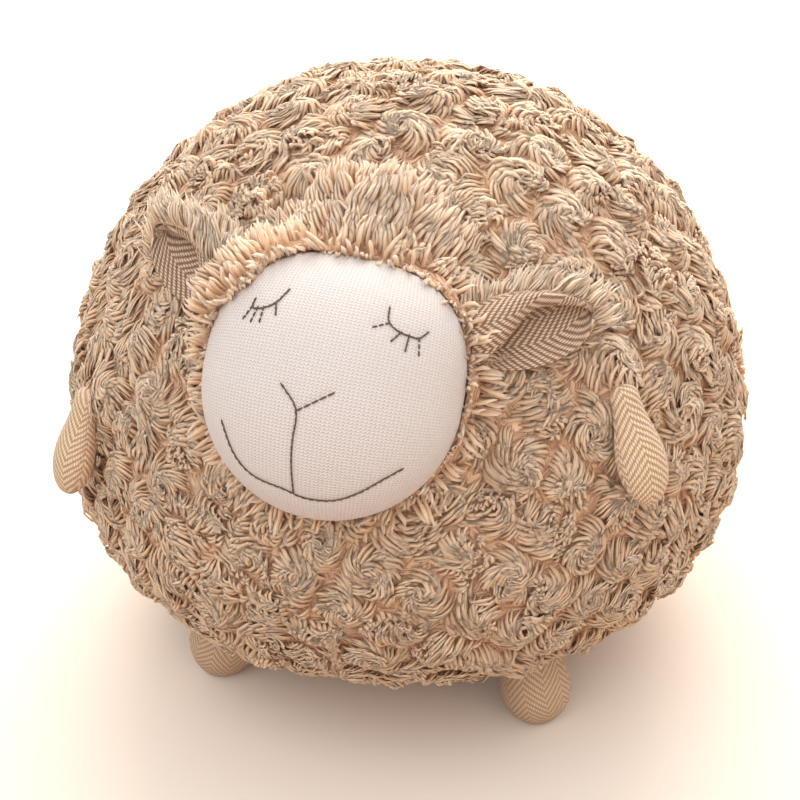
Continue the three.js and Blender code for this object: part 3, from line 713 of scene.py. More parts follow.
crown_reach = shell_reach(lambda places: crown_level(places, CROWN_RISE - HOOD_PILE))
collar_reach = shell_reach(lambda places: face_level(places, COLLAR_STAND))
hood_places = HOOD_START + round_ways * np.maximum(crown_reach, collar_reach)[:, None]
hood_places += round_ways * (HOOD_LUMP * lumps(hood_places, HOOD_LUMP_SPREAD, 9))[:, None]
turned = np.arctan2(hood_places[:, 1], hood_places[:, 0]) - BROW_COVER_TURN
brow_cover = BROW_COVER * np.exp(-(turned / BROW_COVER_SPREAD) ** 2)
ahead = past_seam(hood_places) - brow_cover
under_face = ahead > COLLAR_OVERHANG
setback = ahead + brow_cover + HOOD_FRONT_SETBACK
hood_places -= seam_out * np.where(under_face, setback, 0)[:, None]
hood_covered = np.ones(len(hood_places))
hood_covered[under_face | (ball_level(from_head(hood_places)) < 0.92)] = 0
hood_comb = hood_places - CROWN_MIDDLE * np.array([0, 0.3, 0])
rim_span = (-HOOD_RIM, COLLAR_OVERHANG)
hood_slope = np.interp(ahead, rim_span, HOOD_COMB_SLOPES)
hood_comb[:, 2] = hood_slope * np.linalg.norm(hood_comb[:, :2], axis=1)
hood_comb[:, :2] *= np.interp(ahead, rim_span, HOOD_COMB_SPREADS)[:, None]
hood_comb /= np.linalg.norm(hood_comb, axis=1)[:, None]
hood_backing = shaped_blank("hood_backing", from_head(hood_places))
give_attribute(hood_backing, "pile_cover", hood_covered)
hood_bed = np.interp(ahead, rim_span, (BED_SHARE, 0)) * hood_covered
give_attribute(hood_backing, "bed", hood_bed)
give_attribute(hood_backing, "comb", hood_comb @ np.array(HEAD_TURN).T)
give_attribute(hood_backing, "outward", vertex_rows(hood_backing, "normal"))
# The crown's copy of the plush is painted paler than the body's, a painted highlight where the light
# from above and behind catches the crown.
lit_crown_plush = plush_material("lit_crown_plush", "#DDB698", "#F8D5B8", "#FFE8D0")
hood_seed = 21
hood_cloud = spot_cloud(
    "hood_rosettes", scattered(from_head(hood_places), HOOD_ROSETTE_SPACING, hood_seed),
)
hood_pile = body_pile | {
    "Rosettes": hood_cloud, "Rosette spacing": HOOD_ROSETTE_SPACING, "Tuft spacing": 5 * mm,
    "Lock length": 12 * mm, "Lock radius": 1.1 * mm, "Pile": HOOD_PILE, "Swirl": 0.3,
    "Seed": hood_seed, "Pile material": lit_crown_plush,
}
hood = made_by(pile_tree, "hood", hood_backing, hood_pile)
bpy.data.objects.remove(hood_cloud)
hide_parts("head_hood")
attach(hood, "body")

# The face
# A round panel of white cotton jersey, cut on a seam inside the collar and filled with wadding.
# Its wales run up the face, and the embroidery draws it in a little along each line.

FACE_FLATTEN = 0.1
STITCH_DENT = 0.5 * mm
STITCH_DENT_SPREAD = 1.6 * mm
SEAM_DENT = 0.4 * mm
SEAM_DENT_SPREAD = 1.8 * mm
WALE = 1.6 * mm
COURSE = 1.25 * mm
LOOP_DEPTH = 0.2 * mm
LEFT_EYE_SHARES = (
    ((0.42, 0.65), (0.44, 0.54), (0.54, 0.49), (0.60, 0.48), (0.67, 0.47), (0.71, 0.53)),
    ((0.44, 0.54), (0.36, 0.50)),
    ((0.54, 0.49), (0.50, 0.43)),
    ((0.60, 0.48), (0.60, 0.38)),
    ((0.67, 0.47), (0.69, 0.37)),
)
RIGHT_EYE_SHARES = (
    ((-0.33, 0.64), (-0.39, 0.53), (-0.48, 0.48), (-0.53, 0.47), (-0.58, 0.47), (-0.57, 0.53)),
    ((-0.39, 0.53), (-0.37, 0.46)),
    ((-0.48, 0.48), (-0.48, 0.39)),
    ((-0.53, 0.47), (-0.55, 0.38)),
    ((-0.58, 0.47), (-0.62, 0.39)),
)
NOSE_SHARES = (
    ((-0.19, -0.04), (-0.04, -0.18), (-0.065, -0.44), (-0.035, -0.78)),
    ((0.17, -0.03), (-0.04, -0.18)),
)
MOUTH_SHARES = (
    ((-0.65, -0.40), (-0.53, -0.63), (-0.36, -0.75), (-0.10, -0.78), (0.05, -0.83), (0.34, -0.79),
     (0.70, -0.48)),
)


def smooth_line(points, rounds=3):
    """A line of points with its corners rounded off and its two ends kept."""
    line = np.array(points, float)
    for _ in range(rounds):
        near = line[:-1] * 0.75 + line[1:] * 0.25
        far = line[:-1] * 0.25 + line[1:] * 0.75
        rounded = np.stack([near, far], 1).reshape(-1, line.shape[1])
        line = np.concatenate([line[:1], rounded, line[-1:]])
    return line


def evenly(line, count):
    """Places at even steps along a line."""
    steps = np.linalg.norm(np.diff(line, axis=0), axis=1)
    reach = np.concatenate([[0], np.cumsum(steps)])
    at = np.linspace(0, reach[-1], count)
    return np.stack([np.interp(at, reach, line[:, axis]) for axis in range(line.shape[1])], 1)


def on_face(shares):
    """Places on the face's surface in the head's frame, from shares of its half width and height."""
    flat = shares * np.array([FACE_HALF_WIDTH, FACE_HALF_HEIGHT])
    flat = np.column_stack([flat, np.zeros(len(flat))])
    flat[:, 2] = FACE_DEPTH * np.sqrt(np.maximum(1 - face_level(flat) ** 2, 0))
    return flat


STITCH_SAMPLES = 60
stitch_lines = {
    name: [on_face(evenly(smooth_line(line), STITCH_SAMPLES)) for line in lines]
    for name, lines in (
        ("left_eye_stitches", LEFT_EYE_SHARES), ("right_eye_stitches", RIGHT_EYE_SHARES),
        ("nose_stitches", NOSE_SHARES), ("mouth_stitches", MOUTH_SHARES),
    )
}
face_places = round_ways / face_level(round_ways)[:, None]
thread_gap = np.full(len(face_places), FACE_DEPTH)
for place in np.concatenate([line for lines in stitch_lines.values() for line in lines]):
    thread_gap = np.minimum(thread_gap, np.linalg.norm(face_places - place, axis=1))
seam_gap = past_seam(face_places)
dent = STITCH_DENT * np.exp(-(thread_gap / STITCH_DENT_SPREAD) ** 2)
dent += SEAM_DENT * np.exp(-(seam_gap / SEAM_DENT_SPREAD) ** 2)

# The jersey is measured along its curve, so its loops keep their size down the cheeks
level_steps = np.linspace(0, 0.999, 400)
slope = FACE_DEPTH / FACE_HALF_WIDTH * level_steps / np.sqrt(1 - level_steps ** 2)
arc_steps = np.cumsum(np.hypot(1, slope)) * (level_steps[1] - level_steps[0])
flat_level = np.clip(face_level(face_places * np.array([1, 1, 0])), 0.001, 0.999)
face_weave = face_places * (np.interp(flat_level, level_steps, arc_steps) / flat_level)[:, None]
face_places -= round_ways * dent[:, None]
behind = np.minimum(seam_gap + HOOD_FRONT_SETBACK - mm, 0)
face_places -= seam_out * (behind * (1 - FACE_FLATTEN))[:, None]
face_mesh = shaped_blank("face", from_head(face_places))
give_attribute(face_mesh, "weave", face_weave)


# Single jersey in white cotton: rows of small V loops stand in wales 1.6 mm apart. It is matt. Its
# colour follows the loops' height: painted darker in the gaps between the loops as painted shade,
# faintly pink there where the filling shows through it, and paler on the loops as a painted highlight.
def jersey_material():
    material, tree, shader = new_material(
        "white_jersey", Roughness=0.85, Sheen_Weight=0.25, Sheen_Roughness=0.4, Specular_IOR_Level=0.3,
    )
    maths = "ShaderNodeMath"
    weave = add_node(tree, "ShaderNodeAttribute", attribute_name="weave").outputs["Vector"]
    weave = add_node(tree, "ShaderNodeSeparateXYZ", weave)
    wale = add_node(tree, maths, weave.outputs["X"], WALE, operation="DIVIDE")
    arm = add_node(tree, maths, wale, 0.5, operation="PINGPONG")
    course = add_node(tree, maths, weave.outputs["Y"], COURSE, operation="DIVIDE")
    course = add_node(tree, maths, arm, 1.3, course, operation="MULTIPLY_ADD")
    loop = add_node(tree, maths, course, math.tau, operation="MULTIPLY")
    loop = add_node(tree, maths, loop, operation="SINE")
    valley = add_node(tree, maths, wale, math.tau, operation="MULTIPLY")
    valley = add_node(tree, maths, valley, operation="COSINE")
    height = add_node(tree, maths, valley, -0.6, loop, operation="MULTIPLY_ADD")
    place = add_node(tree, "ShaderNodeTexCoord").outputs["Object"]
    fuzz = add_node(tree, "ShaderNodeTexNoise", named={"Vector": place, "Scale": 900.0, "Detail": 3.0})
    height = add_node(tree, maths, fuzz, 0.8, height, operation="MULTIPLY_ADD")
    # Painted shade and highlight: the loops' height sets the colour, darker in the gaps and paler on
    # top.
    base = add_node(tree, "ShaderNodeMapRange", height, -1.4, 1.6, 0.0, 1.0)
    base = add_node(
        tree, "ShaderNodeValToRGB", base, stops=((0.0, "#C4BDBB"), (0.45, "#DAD8DC"), (1.0, "#E4E4E8")),
    )
    finish_surface(tree, shader, base, height, 0.6, LOOP_DEPTH)
    return material


face_mesh.materials.append(jersey_material())
face = put_in_scene("face", face_mesh)
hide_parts("face_panel", "head_filling")
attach(face, "body")

# The embroidery
# Closed eyes with lashes, a nose and a wide mouth, in backstitch: short stitches of brown cotton
# floss, end to end, each sunk a little into the jersey at its two ends.

STITCH_LENGTH = 2.6 * mm
LASH_STITCH_LENGTH = 1.7 * mm
THREAD_RADIUS = 0.35 * mm
THREAD_STAND = 0.15 * mm
STRAND_DEPTH = 0.15 * mm


def backstitch():
    """The node tree that lays stitches end to end along lines, flat on the surface under them."""
    tree = bpy.data.node_groups.new("backstitch", "GeometryNodeTree")
    for name, kind in (
        ("Geometry", "NodeSocketGeometry"), ("Stitch length", "NodeSocketFloat"),
        ("Thread radius", "NodeSocketFloat"), ("Material", "NodeSocketMaterial"),
    ):
        tree.interface.new_socket(name, in_out="INPUT", socket_type=kind)
    tree.interface.new_socket("Geometry", in_out="OUTPUT", socket_type="NodeSocketGeometry")
    given = tree.nodes.new("NodeGroupInput").outputs
    maths, vectors = "ShaderNodeMath", "ShaderNodeVectorMath"
    line = add_node(tree, "GeometryNodeMeshToCurve", given["Geometry"])
    line = add_node(
        tree, "GeometryNodeResampleCurve", named={"Curve": line, "Length": given["Stitch length"]},
        mode="LENGTH",
    )
    tangent = add_node(tree, "GeometryNodeInputTangent")
    outward = add_node(tree, "GeometryNodeInputNamedAttribute", "outward", data_type="FLOAT_VECTOR")
    turn = add_node(
        tree, "FunctionNodeAxesToRotation", tangent, outward, primary_axis="Z", secondary_axis="X",
    )
    whole = add_node(tree, "ShaderNodeCombineXYZ", 0.0, 0.0, given["Stitch length"])
    start = add_node(tree, vectors, whole, named={"Scale": -0.52}, operation="SCALE")
    end = add_node(tree, vectors, whole, named={"Scale": 0.52}, operation="SCALE")
    stitch = add_node(tree, "GeometryNodeCurvePrimitiveLine", named={"Start": start, "End": end})
    stitch = add_node(tree, "GeometryNodeResampleCurve", named={"Curve": stitch, "Count": 7})
    share = add_node(tree, "GeometryNodeSplineParameter").outputs["Factor"]
    bow = add_node(tree, maths, share, math.pi, operation="MULTIPLY")
    bow = add_node(tree, maths, bow, operation="SINE")
    bow = add_node(tree, maths, bow, 0.001, operation="MAXIMUM")
    bow = add_node(tree, maths, bow, 0.5, operation="POWER")
    rise = add_node(tree, maths, bow, given["Thread radius"], operation="MULTIPLY")
    rise = add_node(tree, "ShaderNodeCombineXYZ", rise, 0.0, 0.0)
    stitch = add_node(tree, "GeometryNodeSetPosition", stitch, named={"Offset": rise})
    girth = add_node(tree, maths, bow, 0.45, 0.55, operation="MULTIPLY_ADD")
    girth = add_node(tree, maths, girth, given["Thread radius"], operation="MULTIPLY")
    outline = add_node(tree, "GeometryNodeCurvePrimitiveCircle", named={"Resolution": 8, "Radius": 1.0})
    stitch = add_node(
        tree, "GeometryNodeCurveToMesh",
        named={"Curve": stitch, "Profile Curve": outline, "Scale": girth, "Fill Caps": True},
    )
    stitches = add_node(
        tree, "GeometryNodeInstanceOnPoints",
        named={"Points": line, "Instance": stitch, "Rotation": turn},
    )
    stitches = add_node(tree, "GeometryNodeRealizeInstances", stitches)
    stitches = add_node(tree, "GeometryNodeSetShadeSmooth", stitches)
    stitches = add_node(
        tree, "GeometryNodeSetMaterial", named={"Geometry": stitches, "Material": given["Material"]},
    )
    add_node(tree, "NodeGroupOutput", stitches)
    return tree


# Stranded cotton floss, six strands laid side by side with a slight twist: mid brown, with the
# low gloss of mercerised cotton along each strand.
def floss_material():
    material, tree, shader = new_material(
        "cotton_floss", Roughness=0.6, Sheen_Weight=0.2, Specular_IOR_Level=0.4,
    )
    place = add_node(tree, "ShaderNodeTexCoord").outputs["Object"]
    strands = add_node(
        tree, "ShaderNodeTexNoise", named={"Vector": place, "Scale": 1400.0, "Detail": 2.0},
    ).outputs[0]
    base = add_node(tree, "ShaderNodeValToRGB", strands, stops=((0.3, "#432F20"), (0.7, "#745B46")))
    finish_surface(tree, shader, base, strands, 0.5, STRAND_DEPTH)
    return material


floss = floss_material()
stitch_tree = backstitch()
for name, lines in stitch_lines.items():
    corners = np.concatenate(lines)
    outward = corners / np.array([FACE_HALF_WIDTH, FACE_HALF_HEIGHT, FACE_DEPTH]) ** 2
    outward /= np.linalg.norm(outward, axis=1)[:, None]
    spans = [(i, i + 1) for i in range(len(corners) - 1) if (i + 1) % STITCH_SAMPLES]
    path = bpy.data.meshes.new(name + "_path")
    path.from_pydata(from_head(corners - outward * (STITCH_DENT - THREAD_STAND)).tolist(), spans, [])
    give_attribute(path, "outward", outward @ np.array(HEAD_TURN).T)
    piece = made_by(stitch_tree, name.replace("stitches", "embroidery"), path, {
        "Stitch length": LASH_STITCH_LENGTH if "eye" in name else STITCH_LENGTH,
        "Thread radius": THREAD_RADIUS, "Material": floss,
    })
    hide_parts(name)
    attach(piece, "body")

# The ears
# Each ear is a leaf of herringbone cloth sewn to a leaf of plush, turned out, folded at its root
# and stitched to the hood's seam. The fold throws the top of the lining forward in a lip, and on
# the right ear the plush rolls over that lip too.

EAR_HALF_WIDTH = 18 * mm
EAR_ROOT_SHARE = 0.62
EAR_WIDEST_SHARE = 0.42
EAR_REACH = 0.995
EAR_CLOTH = 0.9 * mm
EAR_ROWS = 44
EAR_COLUMNS = 64
EAR_PILE = 7 * mm
EAR_BED_SHARE = 0
EAR_ROSETTE_SPACING = 12 * mm
EAR_ROLL_GAP = 1.2 * mm
EAR_SEAM_STEP = 0.4 * mm
EAR_LIP_RIM = 1 * mm
EAR_LIP_BULGE = 8.5 * mm
EAR_LIP_OVERHANG = 8.5 * mm
EAR_TIP_OVERHANG = 2 * mm
LINING_EDGE = 0.6 * mm
LINING_CUP = -2.4 * mm
LINING_CREASE = -3.2 * mm
BACK_EDGE = 0.2 * mm
BACK_FLANK = -4.2 * mm
BACK_MIDDLE = -5.2 * mm
BACK_SHOULDER = -3.4 * mm
YARN = 0.9 * mm
YARN_DEPTH = 0.25 * mm
TWILL_PITCH = 2.1 * mm
STRIPE = 9 * mm


def ear_width(reach):
    """How wide the ear is at a share of its length, as a share of its widest."""
    if reach < EAR_WIDEST_SHARE:
        return 1 - (1 - EAR_ROOT_SHARE) * (1 - reach / EAR_WIDEST_SHARE) ** 2
    return math.sqrt(1 - ((reach - EAR_WIDEST_SHARE) / (1 - EAR_WIDEST_SHARE)) ** 2)


def ear_levels(reach, rim):
    """Across the ear: its bottom, its top, the lip's edge, and the lip's bulge and overhang."""
    half = (EAR_HALF_WIDTH + rim) * ear_width(reach)
    bottom, top = -0.93 * half, 0.62 * half
    share = min(reach / 0.6, 1)
    share = 0.22 + 0.64 * share * share * (3 - 2 * share)
    lip = bottom + share * (top - bottom)
    bulge = EAR_LIP_RIM + EAR_LIP_BULGE * math.sqrt(max(1 - reach ** 2, 0))
    overhang = EAR_LIP_OVERHANG * (1 - reach) + EAR_TIP_OVERHANG
    return bottom, top, lip, bulge, overhang


def lining_line(reach):
    """The lining's line across the ear: a flat flap, a crease and the lip that stands over it."""
    bottom, top, lip, bulge, overhang = ear_levels(reach, 0)
    return smooth_line([
        (bottom, LINING_EDGE), (bottom + 0.4 * (lip - bottom), LINING_CUP), (lip, LINING_CREASE),
        (lip + overhang, LINING_CUP), (lip + overhang * 0.8, 0.3 * bulge),
        (lip - overhang * 0.7, 0.7 * bulge), (lip + 0.2 * (top - lip), 1.15 * bulge),
        (lip + 0.7 * (top - lip), bulge), (top, 0.45 * bulge),
    ])


def back_line(reach, roll):
    """The plush's line across the ear, behind the lining, and a roll of it over the top's lip."""
    bottom, top, lip, bulge, _ = ear_levels(reach, -EAR_SEAM_STEP)
    line = [
        (bottom, BACK_EDGE), (bottom * 0.6, BACK_FLANK), (0, BACK_MIDDLE),
        (top * 0.8, BACK_SHOULDER), (top, 0.4 * bulge),
    ]
    if roll:
        roll *= min(reach / EAR_WIDEST_SHARE, 1)
        line[-1] = (top + EAR_ROLL_GAP, 0.45 * bulge)
        line.append((lip + 0.7 * (top - lip), bulge + EAR_ROLL_GAP))
        line.append((lip + (0.7 - roll) * (top - lip), 1.15 * bulge + EAR_ROLL_GAP))
    return smooth_line(line)


def ear_leaf(name, side, line_at, length):
    """A sheet across the ear's lines, with its own lengths along and across as an attribute."""
    rows = []
    for i in range(EAR_ROWS):
        reach = EAR_REACH * math.sin(math.pi / 2 * i / (EAR_ROWS - 1))
        line = evenly(line_at(reach), EAR_COLUMNS)
        rows.append(np.column_stack([np.full(EAR_COLUMNS, side * reach * length), line]))
    grid = np.array(rows)
    faces = []
    for i in range(EAR_ROWS - 1):
        for j in range(EAR_COLUMNS - 1):
            a = i * EAR_COLUMNS + j
            corners = (a, a + EAR_COLUMNS, a + EAR_COLUMNS + 1, a + 1)
            faces.append(corners if side > 0 else corners[::-1])
    mesh = bpy.data.meshes.new(name)
    mesh.from_pydata(grid.reshape(-1, 3).tolist(), [], faces)
    mesh.shade_smooth()
    across = np.linalg.norm(np.diff(grid[:, :, 1:], axis=1), axis=2)
    across = np.concatenate([np.zeros((EAR_ROWS, 1)), np.cumsum(across, axis=1)], axis=1)
    give_attribute(mesh, "weave", np.stack([across, grid[:, :, 0], 0 * across], 2).reshape(-1, 3))
    return mesh


def thickened(name, mesh, thickness):
    """A closed sheet: a mesh given its cloth's thickness behind it."""
    piece = put_in_scene(name, mesh)
    wall = piece.modifiers.new("wall", "SOLIDIFY")
    wall.thickness = thickness
    wall.offset = -1
    evaluated = piece.evaluated_get(bpy.context.evaluated_depsgraph_get())
    solid = bpy.data.meshes.new_from_object(evaluated)
    bpy.data.objects.remove(piece)
    return solid


# Herringbone cotton: twill lines 2.1 mm apart in cream and tan, which turn back at every 9 mm.
# Each line is a stair of yarns 0.9 mm wide, matt and rounded; the grooves between the yarns are painted
# darker in the colour, as painted shade.
def herringbone_material(name, pale, tan, ground):
    material, tree, shader = new_material(
        name, Roughness=0.85, Sheen_Weight=0.2, Sheen_Roughness=0.4, Specular_IOR_Level=0.3,
    )
    maths = "ShaderNodeMath"
    weave = add_node(tree, "ShaderNodeAttribute", attribute_name="weave").outputs["Vector"]
    place = add_node(tree, "ShaderNodeTexCoord").outputs["Object"]
    wander = add_node(tree, "ShaderNodeTexNoise", named={"Vector": place, "Scale": 160.0, "Detail": 2.0})
    wander = add_node(
        tree, "ShaderNodeVectorMath", wander.outputs["Color"], named={"Scale": YARN},
        operation="SCALE",
    )
    weave = add_node(tree, "ShaderNodeVectorMath", weave, wander, operation="ADD")
    weave = add_node(tree, "ShaderNodeSeparateXYZ", weave)
    yarn = add_node(tree, maths, weave.outputs["X"], YARN, operation="SNAP")
    turn = add_node(tree, maths, yarn, STRIPE, operation="PINGPONG")
    climb = add_node(tree, maths, weave.outputs["Y"], turn, operation="ADD")
    climb = add_node(tree, maths, climb, math.tau / (TWILL_PITCH * math.sqrt(2)), operation="MULTIPLY")
    twill = add_node(tree, maths, climb, operation="SINE")
    ridge = add_node(tree, maths, weave.outputs["X"], math.tau / YARN, operation="MULTIPLY")
    ridge = add_node(tree, maths, ridge, operation="COSINE")
    fuzz = add_node(tree, "ShaderNodeTexNoise", named={"Vector": place, "Scale": 1100.0, "Detail": 2.0})
    mixed = add_node(tree, maths, fuzz, 1.6, -0.8, operation="MULTIPLY_ADD")
    # Painted shade: the colour is darker in the grooves between the yarns.
    mixed = add_node(tree, maths, ridge, -0.45, mixed, operation="MULTIPLY_ADD")
    mixed = add_node(tree, maths, twill, mixed, operation="ADD")
    mixed = add_node(tree, "ShaderNodeMapRange", mixed, -1.4, 1.4, 0.0, 1.0)
    base = add_node(tree, "ShaderNodeValToRGB", mixed, stops=((0.1, tan), (0.5, ground), (0.9, pale)))
    height = add_node(tree, maths, ridge, -0.35, twill, operation="MULTIPLY_ADD")
    finish_surface(tree, shader, base, height, 0.6, YARN_DEPTH)
    return material


# The lining's copy of the herringbone is painted darker than the arms', as painted shade in the hollow
# of the ear.
shaded_ear_cloth = herringbone_material("herringbone_lining", "#DCCEC2", "#76573F", "#A98D76")
# The ears' copy of the plush is painted paler still, a painted highlight for the light shining through
# the ear tufts from behind.
ear_plush = plush_material("ear_plush", "#DCBA9A", "#F8DCC0", "#FFECD6")
ear_pile = body_pile | {
    "Rosette spacing": EAR_ROSETTE_SPACING, "Tuft spacing": 4 * mm, "Lock spacing": 1 * mm,
    "Lock length": 14 * mm, "Lock radius": 0.8 * mm, "Pile": EAR_PILE, "Swirl": 0.2,
    "Frizz": 8 * mm, "Seed": 33, "Pile material": ear_plush,
}
EAR_ROLLS = {"left_ear": 0, "right_ear": 0.5}
for side, (name, roll) in zip((1, -1), EAR_ROLLS.items()):
    ear_place, ear_turn = ear_frame(side)
    to_sheep = Matrix.Translation(ear_place) @ ear_turn.to_4x4()

    lining = ear_leaf(name + "_lining_leaf", side, lining_line, EAR_LENGTH)
    lining = thickened(name + "_cloth", lining, EAR_CLOTH)
    lining.transform(to_sheep)
    lining.materials.append(shaded_ear_cloth)
    piece = put_in_scene(name + "_cloth", lining)
    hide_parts(name + "_lining")
    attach(piece, name)

    back = ear_leaf(
        name + "_back_leaf", side, lambda reach: back_line(reach, roll), EAR_LENGTH + EAR_SEAM_STEP,
    )
    back = thickened(name + "_plush", back, EAR_CLOTH)
    places = vertex_rows(back)
    facing = vertex_rows(back, "normal")
    outer = np.arange(len(places)) >= EAR_ROWS * EAR_COLUMNS
    cover = ((facing[:, 2] < 0.35) | outer).astype(float)
    cover[places[:, 1] < -0.6 * EAR_HALF_WIDTH] = 0
    comb = np.column_stack([
        side * (0.2 + 0.9 * np.abs(places[:, 0]) / EAR_LENGTH),
        0.5 + 0.6 * places[:, 1] / EAR_HALF_WIDTH,
        roll * np.clip(places[:, 1] / EAR_HALF_WIDTH, 0, 1) - 0.05,
    ])
    comb /= np.linalg.norm(comb, axis=1)[:, None]
    give_attribute(back, "pile_cover", cover)
    give_attribute(back, "outward", facing @ np.array(ear_turn).T)
    give_attribute(back, "bed", EAR_BED_SHARE * cover)
    give_attribute(back, "comb", comb @ np.array(ear_turn).T)
    back.transform(to_sheep)
    ear_cloud = spot_cloud(
        name + "_rosettes", scattered(vertex_rows(back), EAR_ROSETTE_SPACING, ear_pile["Seed"]),
    )
    piece = made_by(pile_tree, name + "_plush", back, ear_pile | {"Rosettes": ear_cloud})
    bpy.data.objects.remove(ear_cloud)
    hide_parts(name + "_back")
    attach(piece, name)

# The arms and feet
# Small teardrops of the same herringbone, each in two panels seamed down its sides and stuffed.
# The arms hang against the body; the feet stand on the floor and carry its front.

LIMB_ROWS = 72
LIMB_COLUMNS = 64
LIMB_FULLNESS = 1.8
PUCKER = 0.3 * mm
PUCKER_LENGTH = 4.5 * mm
SIDE_SEAM_DENT = 0.35 * mm


def limb_mesh(name, length, root, belly, belly_share, flatness, seed):
    """A stuffed limb down -Z from its root, pinched along the seams on its two sides."""
    profile = []
    for share in np.linspace(0, 1, 12, endpoint=False):
        profile.append((root * math.sin(math.pi / 2 * share), root * math.cos(math.pi / 2 * share)))
    for share in np.linspace(0, 1, 20, endpoint=False):
        swell = (1 - math.cos(math.pi * share)) / 2
        profile.append((root + (belly - root) * swell, -length * belly_share * share))
    for share in np.linspace(0, 1, 20):
        down = length * belly_share + length * (1 - belly_share) * math.sin(math.pi / 2 * share)
        profile.append((belly * math.cos(math.pi / 2 * share), -down))
    profile = evenly(np.array(profile), LIMB_ROWS)
    turns = np.arange(LIMB_COLUMNS) * math.tau / LIMB_COLUMNS
    cosine, sine = np.cos(turns), np.sin(turns)
    rounded = (np.abs(cosine) ** LIMB_FULLNESS + np.abs(sine) ** LIMB_FULLNESS) ** (-1 / LIMB_FULLNESS)
    from_seam = np.arcsin(np.abs(sine))
    step = np.linalg.norm(profile[1] - profile[0])
    places = []
    weave = []
    for i, (radius, level) in enumerate(profile[1:-1]):
        travel = (i + 1) * step
        pucker = PUCKER * math.sin(math.tau * travel / PUCKER_LENGTH + seed)
        pucker = pucker * np.exp(-(from_seam / 0.5) ** 2)
        pucker -= SIDE_SEAM_DENT * np.exp(-(from_seam / 0.12) ** 2)
        ring = (radius + pucker * radius / belly) * rounded
        levels = np.full(LIMB_COLUMNS, level)
        places.append(np.column_stack([ring * cosine, ring * sine * flatness, levels]))
        across = radius * np.arctan2(cosine, np.abs(sine)) * (1 + flatness) / 2
        weave.append(np.column_stack([across + length, np.full(LIMB_COLUMNS, travel), 0 * across]))
    rows = len(places)
    corners = np.concatenate(places + [[[0, 0, profile[0, 1]], [0, 0, profile[-1, 1]]]])
    weave = np.concatenate(weave + [[[length, 0, 0], [length, (rows + 1) * step, 0]]])
    faces = []
    for j in range(LIMB_COLUMNS):
        k = (j + 1) % LIMB_COLUMNS
        last = (rows - 1) * LIMB_COLUMNS
        for a in range(0, last, LIMB_COLUMNS):
            faces.append((a + j, a + LIMB_COLUMNS + j, a + LIMB_COLUMNS + k, a + k))
        faces.append((rows * LIMB_COLUMNS, j, k))
        faces.append((rows * LIMB_COLUMNS + 1, last + k, last + j))
    mesh = bpy.data.meshes.new(name)
    mesh.from_pydata(corners.tolist(), [], faces)
    mesh.shade_smooth()
    give_attribute(mesh, "weave", weave)
    return mesh


ARM_LENGTH = 42 * mm
ARM_ROOT = 6.5 * mm
ARM_BELLY = 11 * mm
ARM_BELLY_SHARE = 0.6
ARM_FLATNESS = 0.75
ARM_STAND = 0.3 * mm
FOOT_LENGTH = 46 * mm
FOOT_ROOT = 11.5 * mm
FOOT_BELLY = 16 * mm
FOOT_BELLY_SHARE = 0.62
FOOT_FORWARD = 80 * mm
FOOT_SPREADS = {"left_foot": 79 * mm, "right_foot": 73 * mm}
FOOT_RESTING_CUT = 2 * mm
FOOT_SPLAY = math.radians(14)
FOOT_TILT = math.radians(12)
SOLE_CLEARANCE = 0.1 * mm

limbs = []
for side, (name, rise) in zip((1, -1), ARM_RISES.items()):
    root, out_of_body = body_surface(side * ARM_TURN, rise)
    root += out_of_body * (ARM_ROOT * ARM_FLATNESS + ARM_STAND)
    drop = math.degrees(ARM_LENGTH * ARM_BELLY_SHARE / BODY_HALF_WIDTH)
    belly, belly_out = body_surface(side * ARM_TURN, rise - drop)
    belly += belly_out * (ARM_BELLY * ARM_FLATNESS + ARM_STAND)
    up_arm = (root - belly).normalized()
    along_seam = out_of_body.cross(up_arm).normalized()
    turn = Matrix((along_seam, up_arm.cross(along_seam), up_arm)).transposed()
    mesh = limb_mesh(name, ARM_LENGTH, ARM_ROOT, ARM_BELLY, ARM_BELLY_SHARE, ARM_FLATNESS, rise)
    mesh.transform(Matrix.Translation(root) @ turn.to_4x4())
    limbs.append((name, name, mesh))
for side, (name, spread) in zip((1, -1), FOOT_SPREADS.items()):
    turn = Matrix.Rotation(-side * FOOT_SPLAY, 3, "Y") @ Matrix.Rotation(-FOOT_TILT, 3, "X")
    tip = turn @ Vector((0, 0, -FOOT_LENGTH))
    place = Vector((side * spread, -FOOT_FORWARD, -FOOT_RESTING_CUT)) - tip
    mesh = limb_mesh(name, FOOT_LENGTH, FOOT_ROOT, FOOT_BELLY, FOOT_BELLY_SHARE, 1, spread)
    mesh.transform(Matrix.Translation(place) @ turn.to_4x4())
    places = vertex_rows(mesh)
    places[:, 2] = np.maximum(places[:, 2], SOLE_CLEARANCE)
    mesh.vertices.foreach_set("co", places.ravel())
    mesh.update()
    limbs.append((name, "body", mesh))

arm_cloth = herringbone_material("herringbone_arm", "#EBDECE", "#A98662", "#D0B99C")
# The feet's copy of the herringbone is painted darker than the arms', as painted shade under the body's
# front.
shaded_foot_cloth = herringbone_material("herringbone_foot", "#D9C7B2", "#A98A6C", "#C4AB91")
for name, body, mesh in limbs:
    mesh.materials.append(shaded_foot_cloth if body == "body" else arm_cloth)
    piece = put_in_scene(name, mesh)
    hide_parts(name + "_cover", name + "_filling")
    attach(piece, body)

# The stage
# A round pale floor under the toy, and soft light from above, behind and in front.

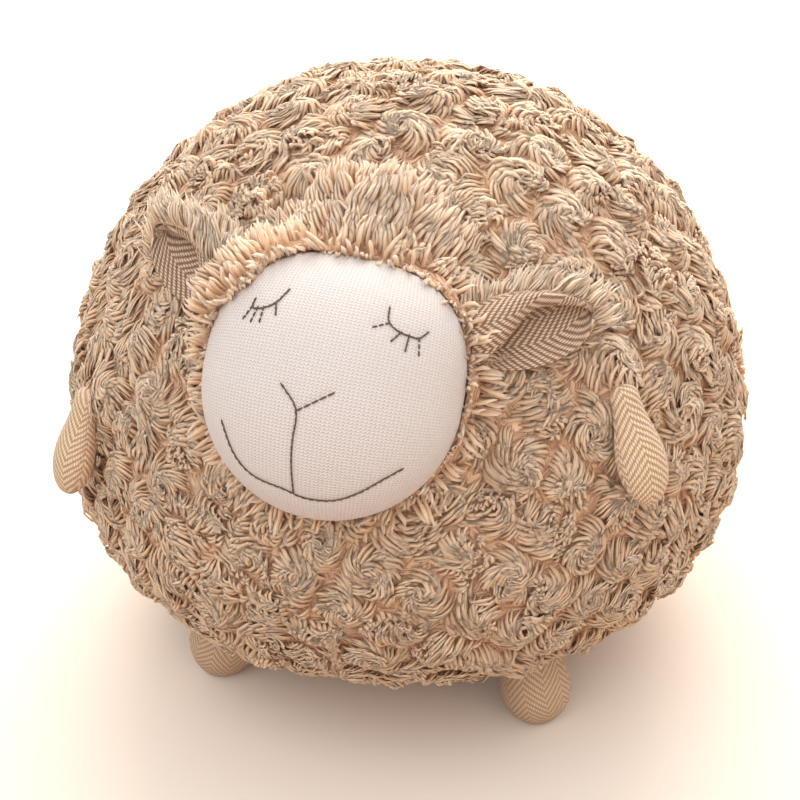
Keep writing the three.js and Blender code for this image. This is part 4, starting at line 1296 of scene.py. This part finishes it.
floor_mesh = bpy.data.meshes.new("floor")
floor_radius = 3
floor_sides = 128
floor_turns = np.arange(floor_sides) * math.tau / floor_sides
floor_mesh.from_pydata(
    [(floor_radius * math.cos(turn), floor_radius * math.sin(turn), 0) for turn in floor_turns],
    [], [range(floor_sides)],
)
floor = put_in_scene("floor", floor_mesh)
floor_paper, floor_tree, floor_shader = new_material("floor_paper", Roughness=0.9)
floor_seen = add_node(floor_tree, "ShaderNodeLightPath").outputs["Is Camera Ray"]
floor_tint = add_node(
    floor_tree, "ShaderNodeMix", floor_seen, colour("#C4AF9F"), colour("#EDE8E2"), data_type="RGBA",
)
floor_tint = next(output for output in floor_tint.outputs if output.enabled)
floor_tree.links.new(floor_tint, floor_shader.inputs["Base Color"])
floor_mesh.materials.append(floor_paper)

for name, place, size, watts, tint in (
    ("key", (-0.3, -1.15, 1.4), 1.6, 14, "#FFFBF7"),
    ("back", (-0.3, 1.95, 1.15), 2.0, 84, "#FFF0E0"),
    ("fill", (1.0, -1.3, 0.4), 1.2, 5, "#FFD6B4"),
):
    lamp = bpy.data.lights.new(name, "AREA")
    lamp.size = size
    lamp.energy = watts
    lamp.color = colour(tint)[:3]
    holder = put_in_scene(name, lamp)
    holder.location = place
    holder.rotation_euler = (Vector(place) - Vector((0, 0, 0.12))).to_track_quat("Z", "Y").to_euler()

world = bpy.data.worlds.new("studio")
bpy.context.scene.world = world
world.use_nodes = True
world_tree = world.node_tree
world_tree.nodes.clear()
seen = add_node(world_tree, "ShaderNodeLightPath").outputs["Is Camera Ray"]
sky_way = add_node(world_tree, "ShaderNodeTexCoord").outputs["Generated"]
sky_level = add_node(
    world_tree, "ShaderNodeVectorMath", sky_way, (0.0, 0.8, 0.6), operation="DOT_PRODUCT",
).outputs["Value"]
glow = add_node(world_tree, "ShaderNodeMapRange", sky_level, -0.4, 1.0, 0.42, 1.5)
sky = add_node(world_tree, "ShaderNodeBackground", colour("#FFF6EC"), glow)
white = add_node(world_tree, "ShaderNodeBackground", colour("#FFFFFF"), 1.0)
both = add_node(world_tree, "ShaderNodeMixShader", seen, sky, white)
add_node(world_tree, "ShaderNodeOutputWorld", both)
bpy.context.scene.view_settings.view_transform = "Standard"
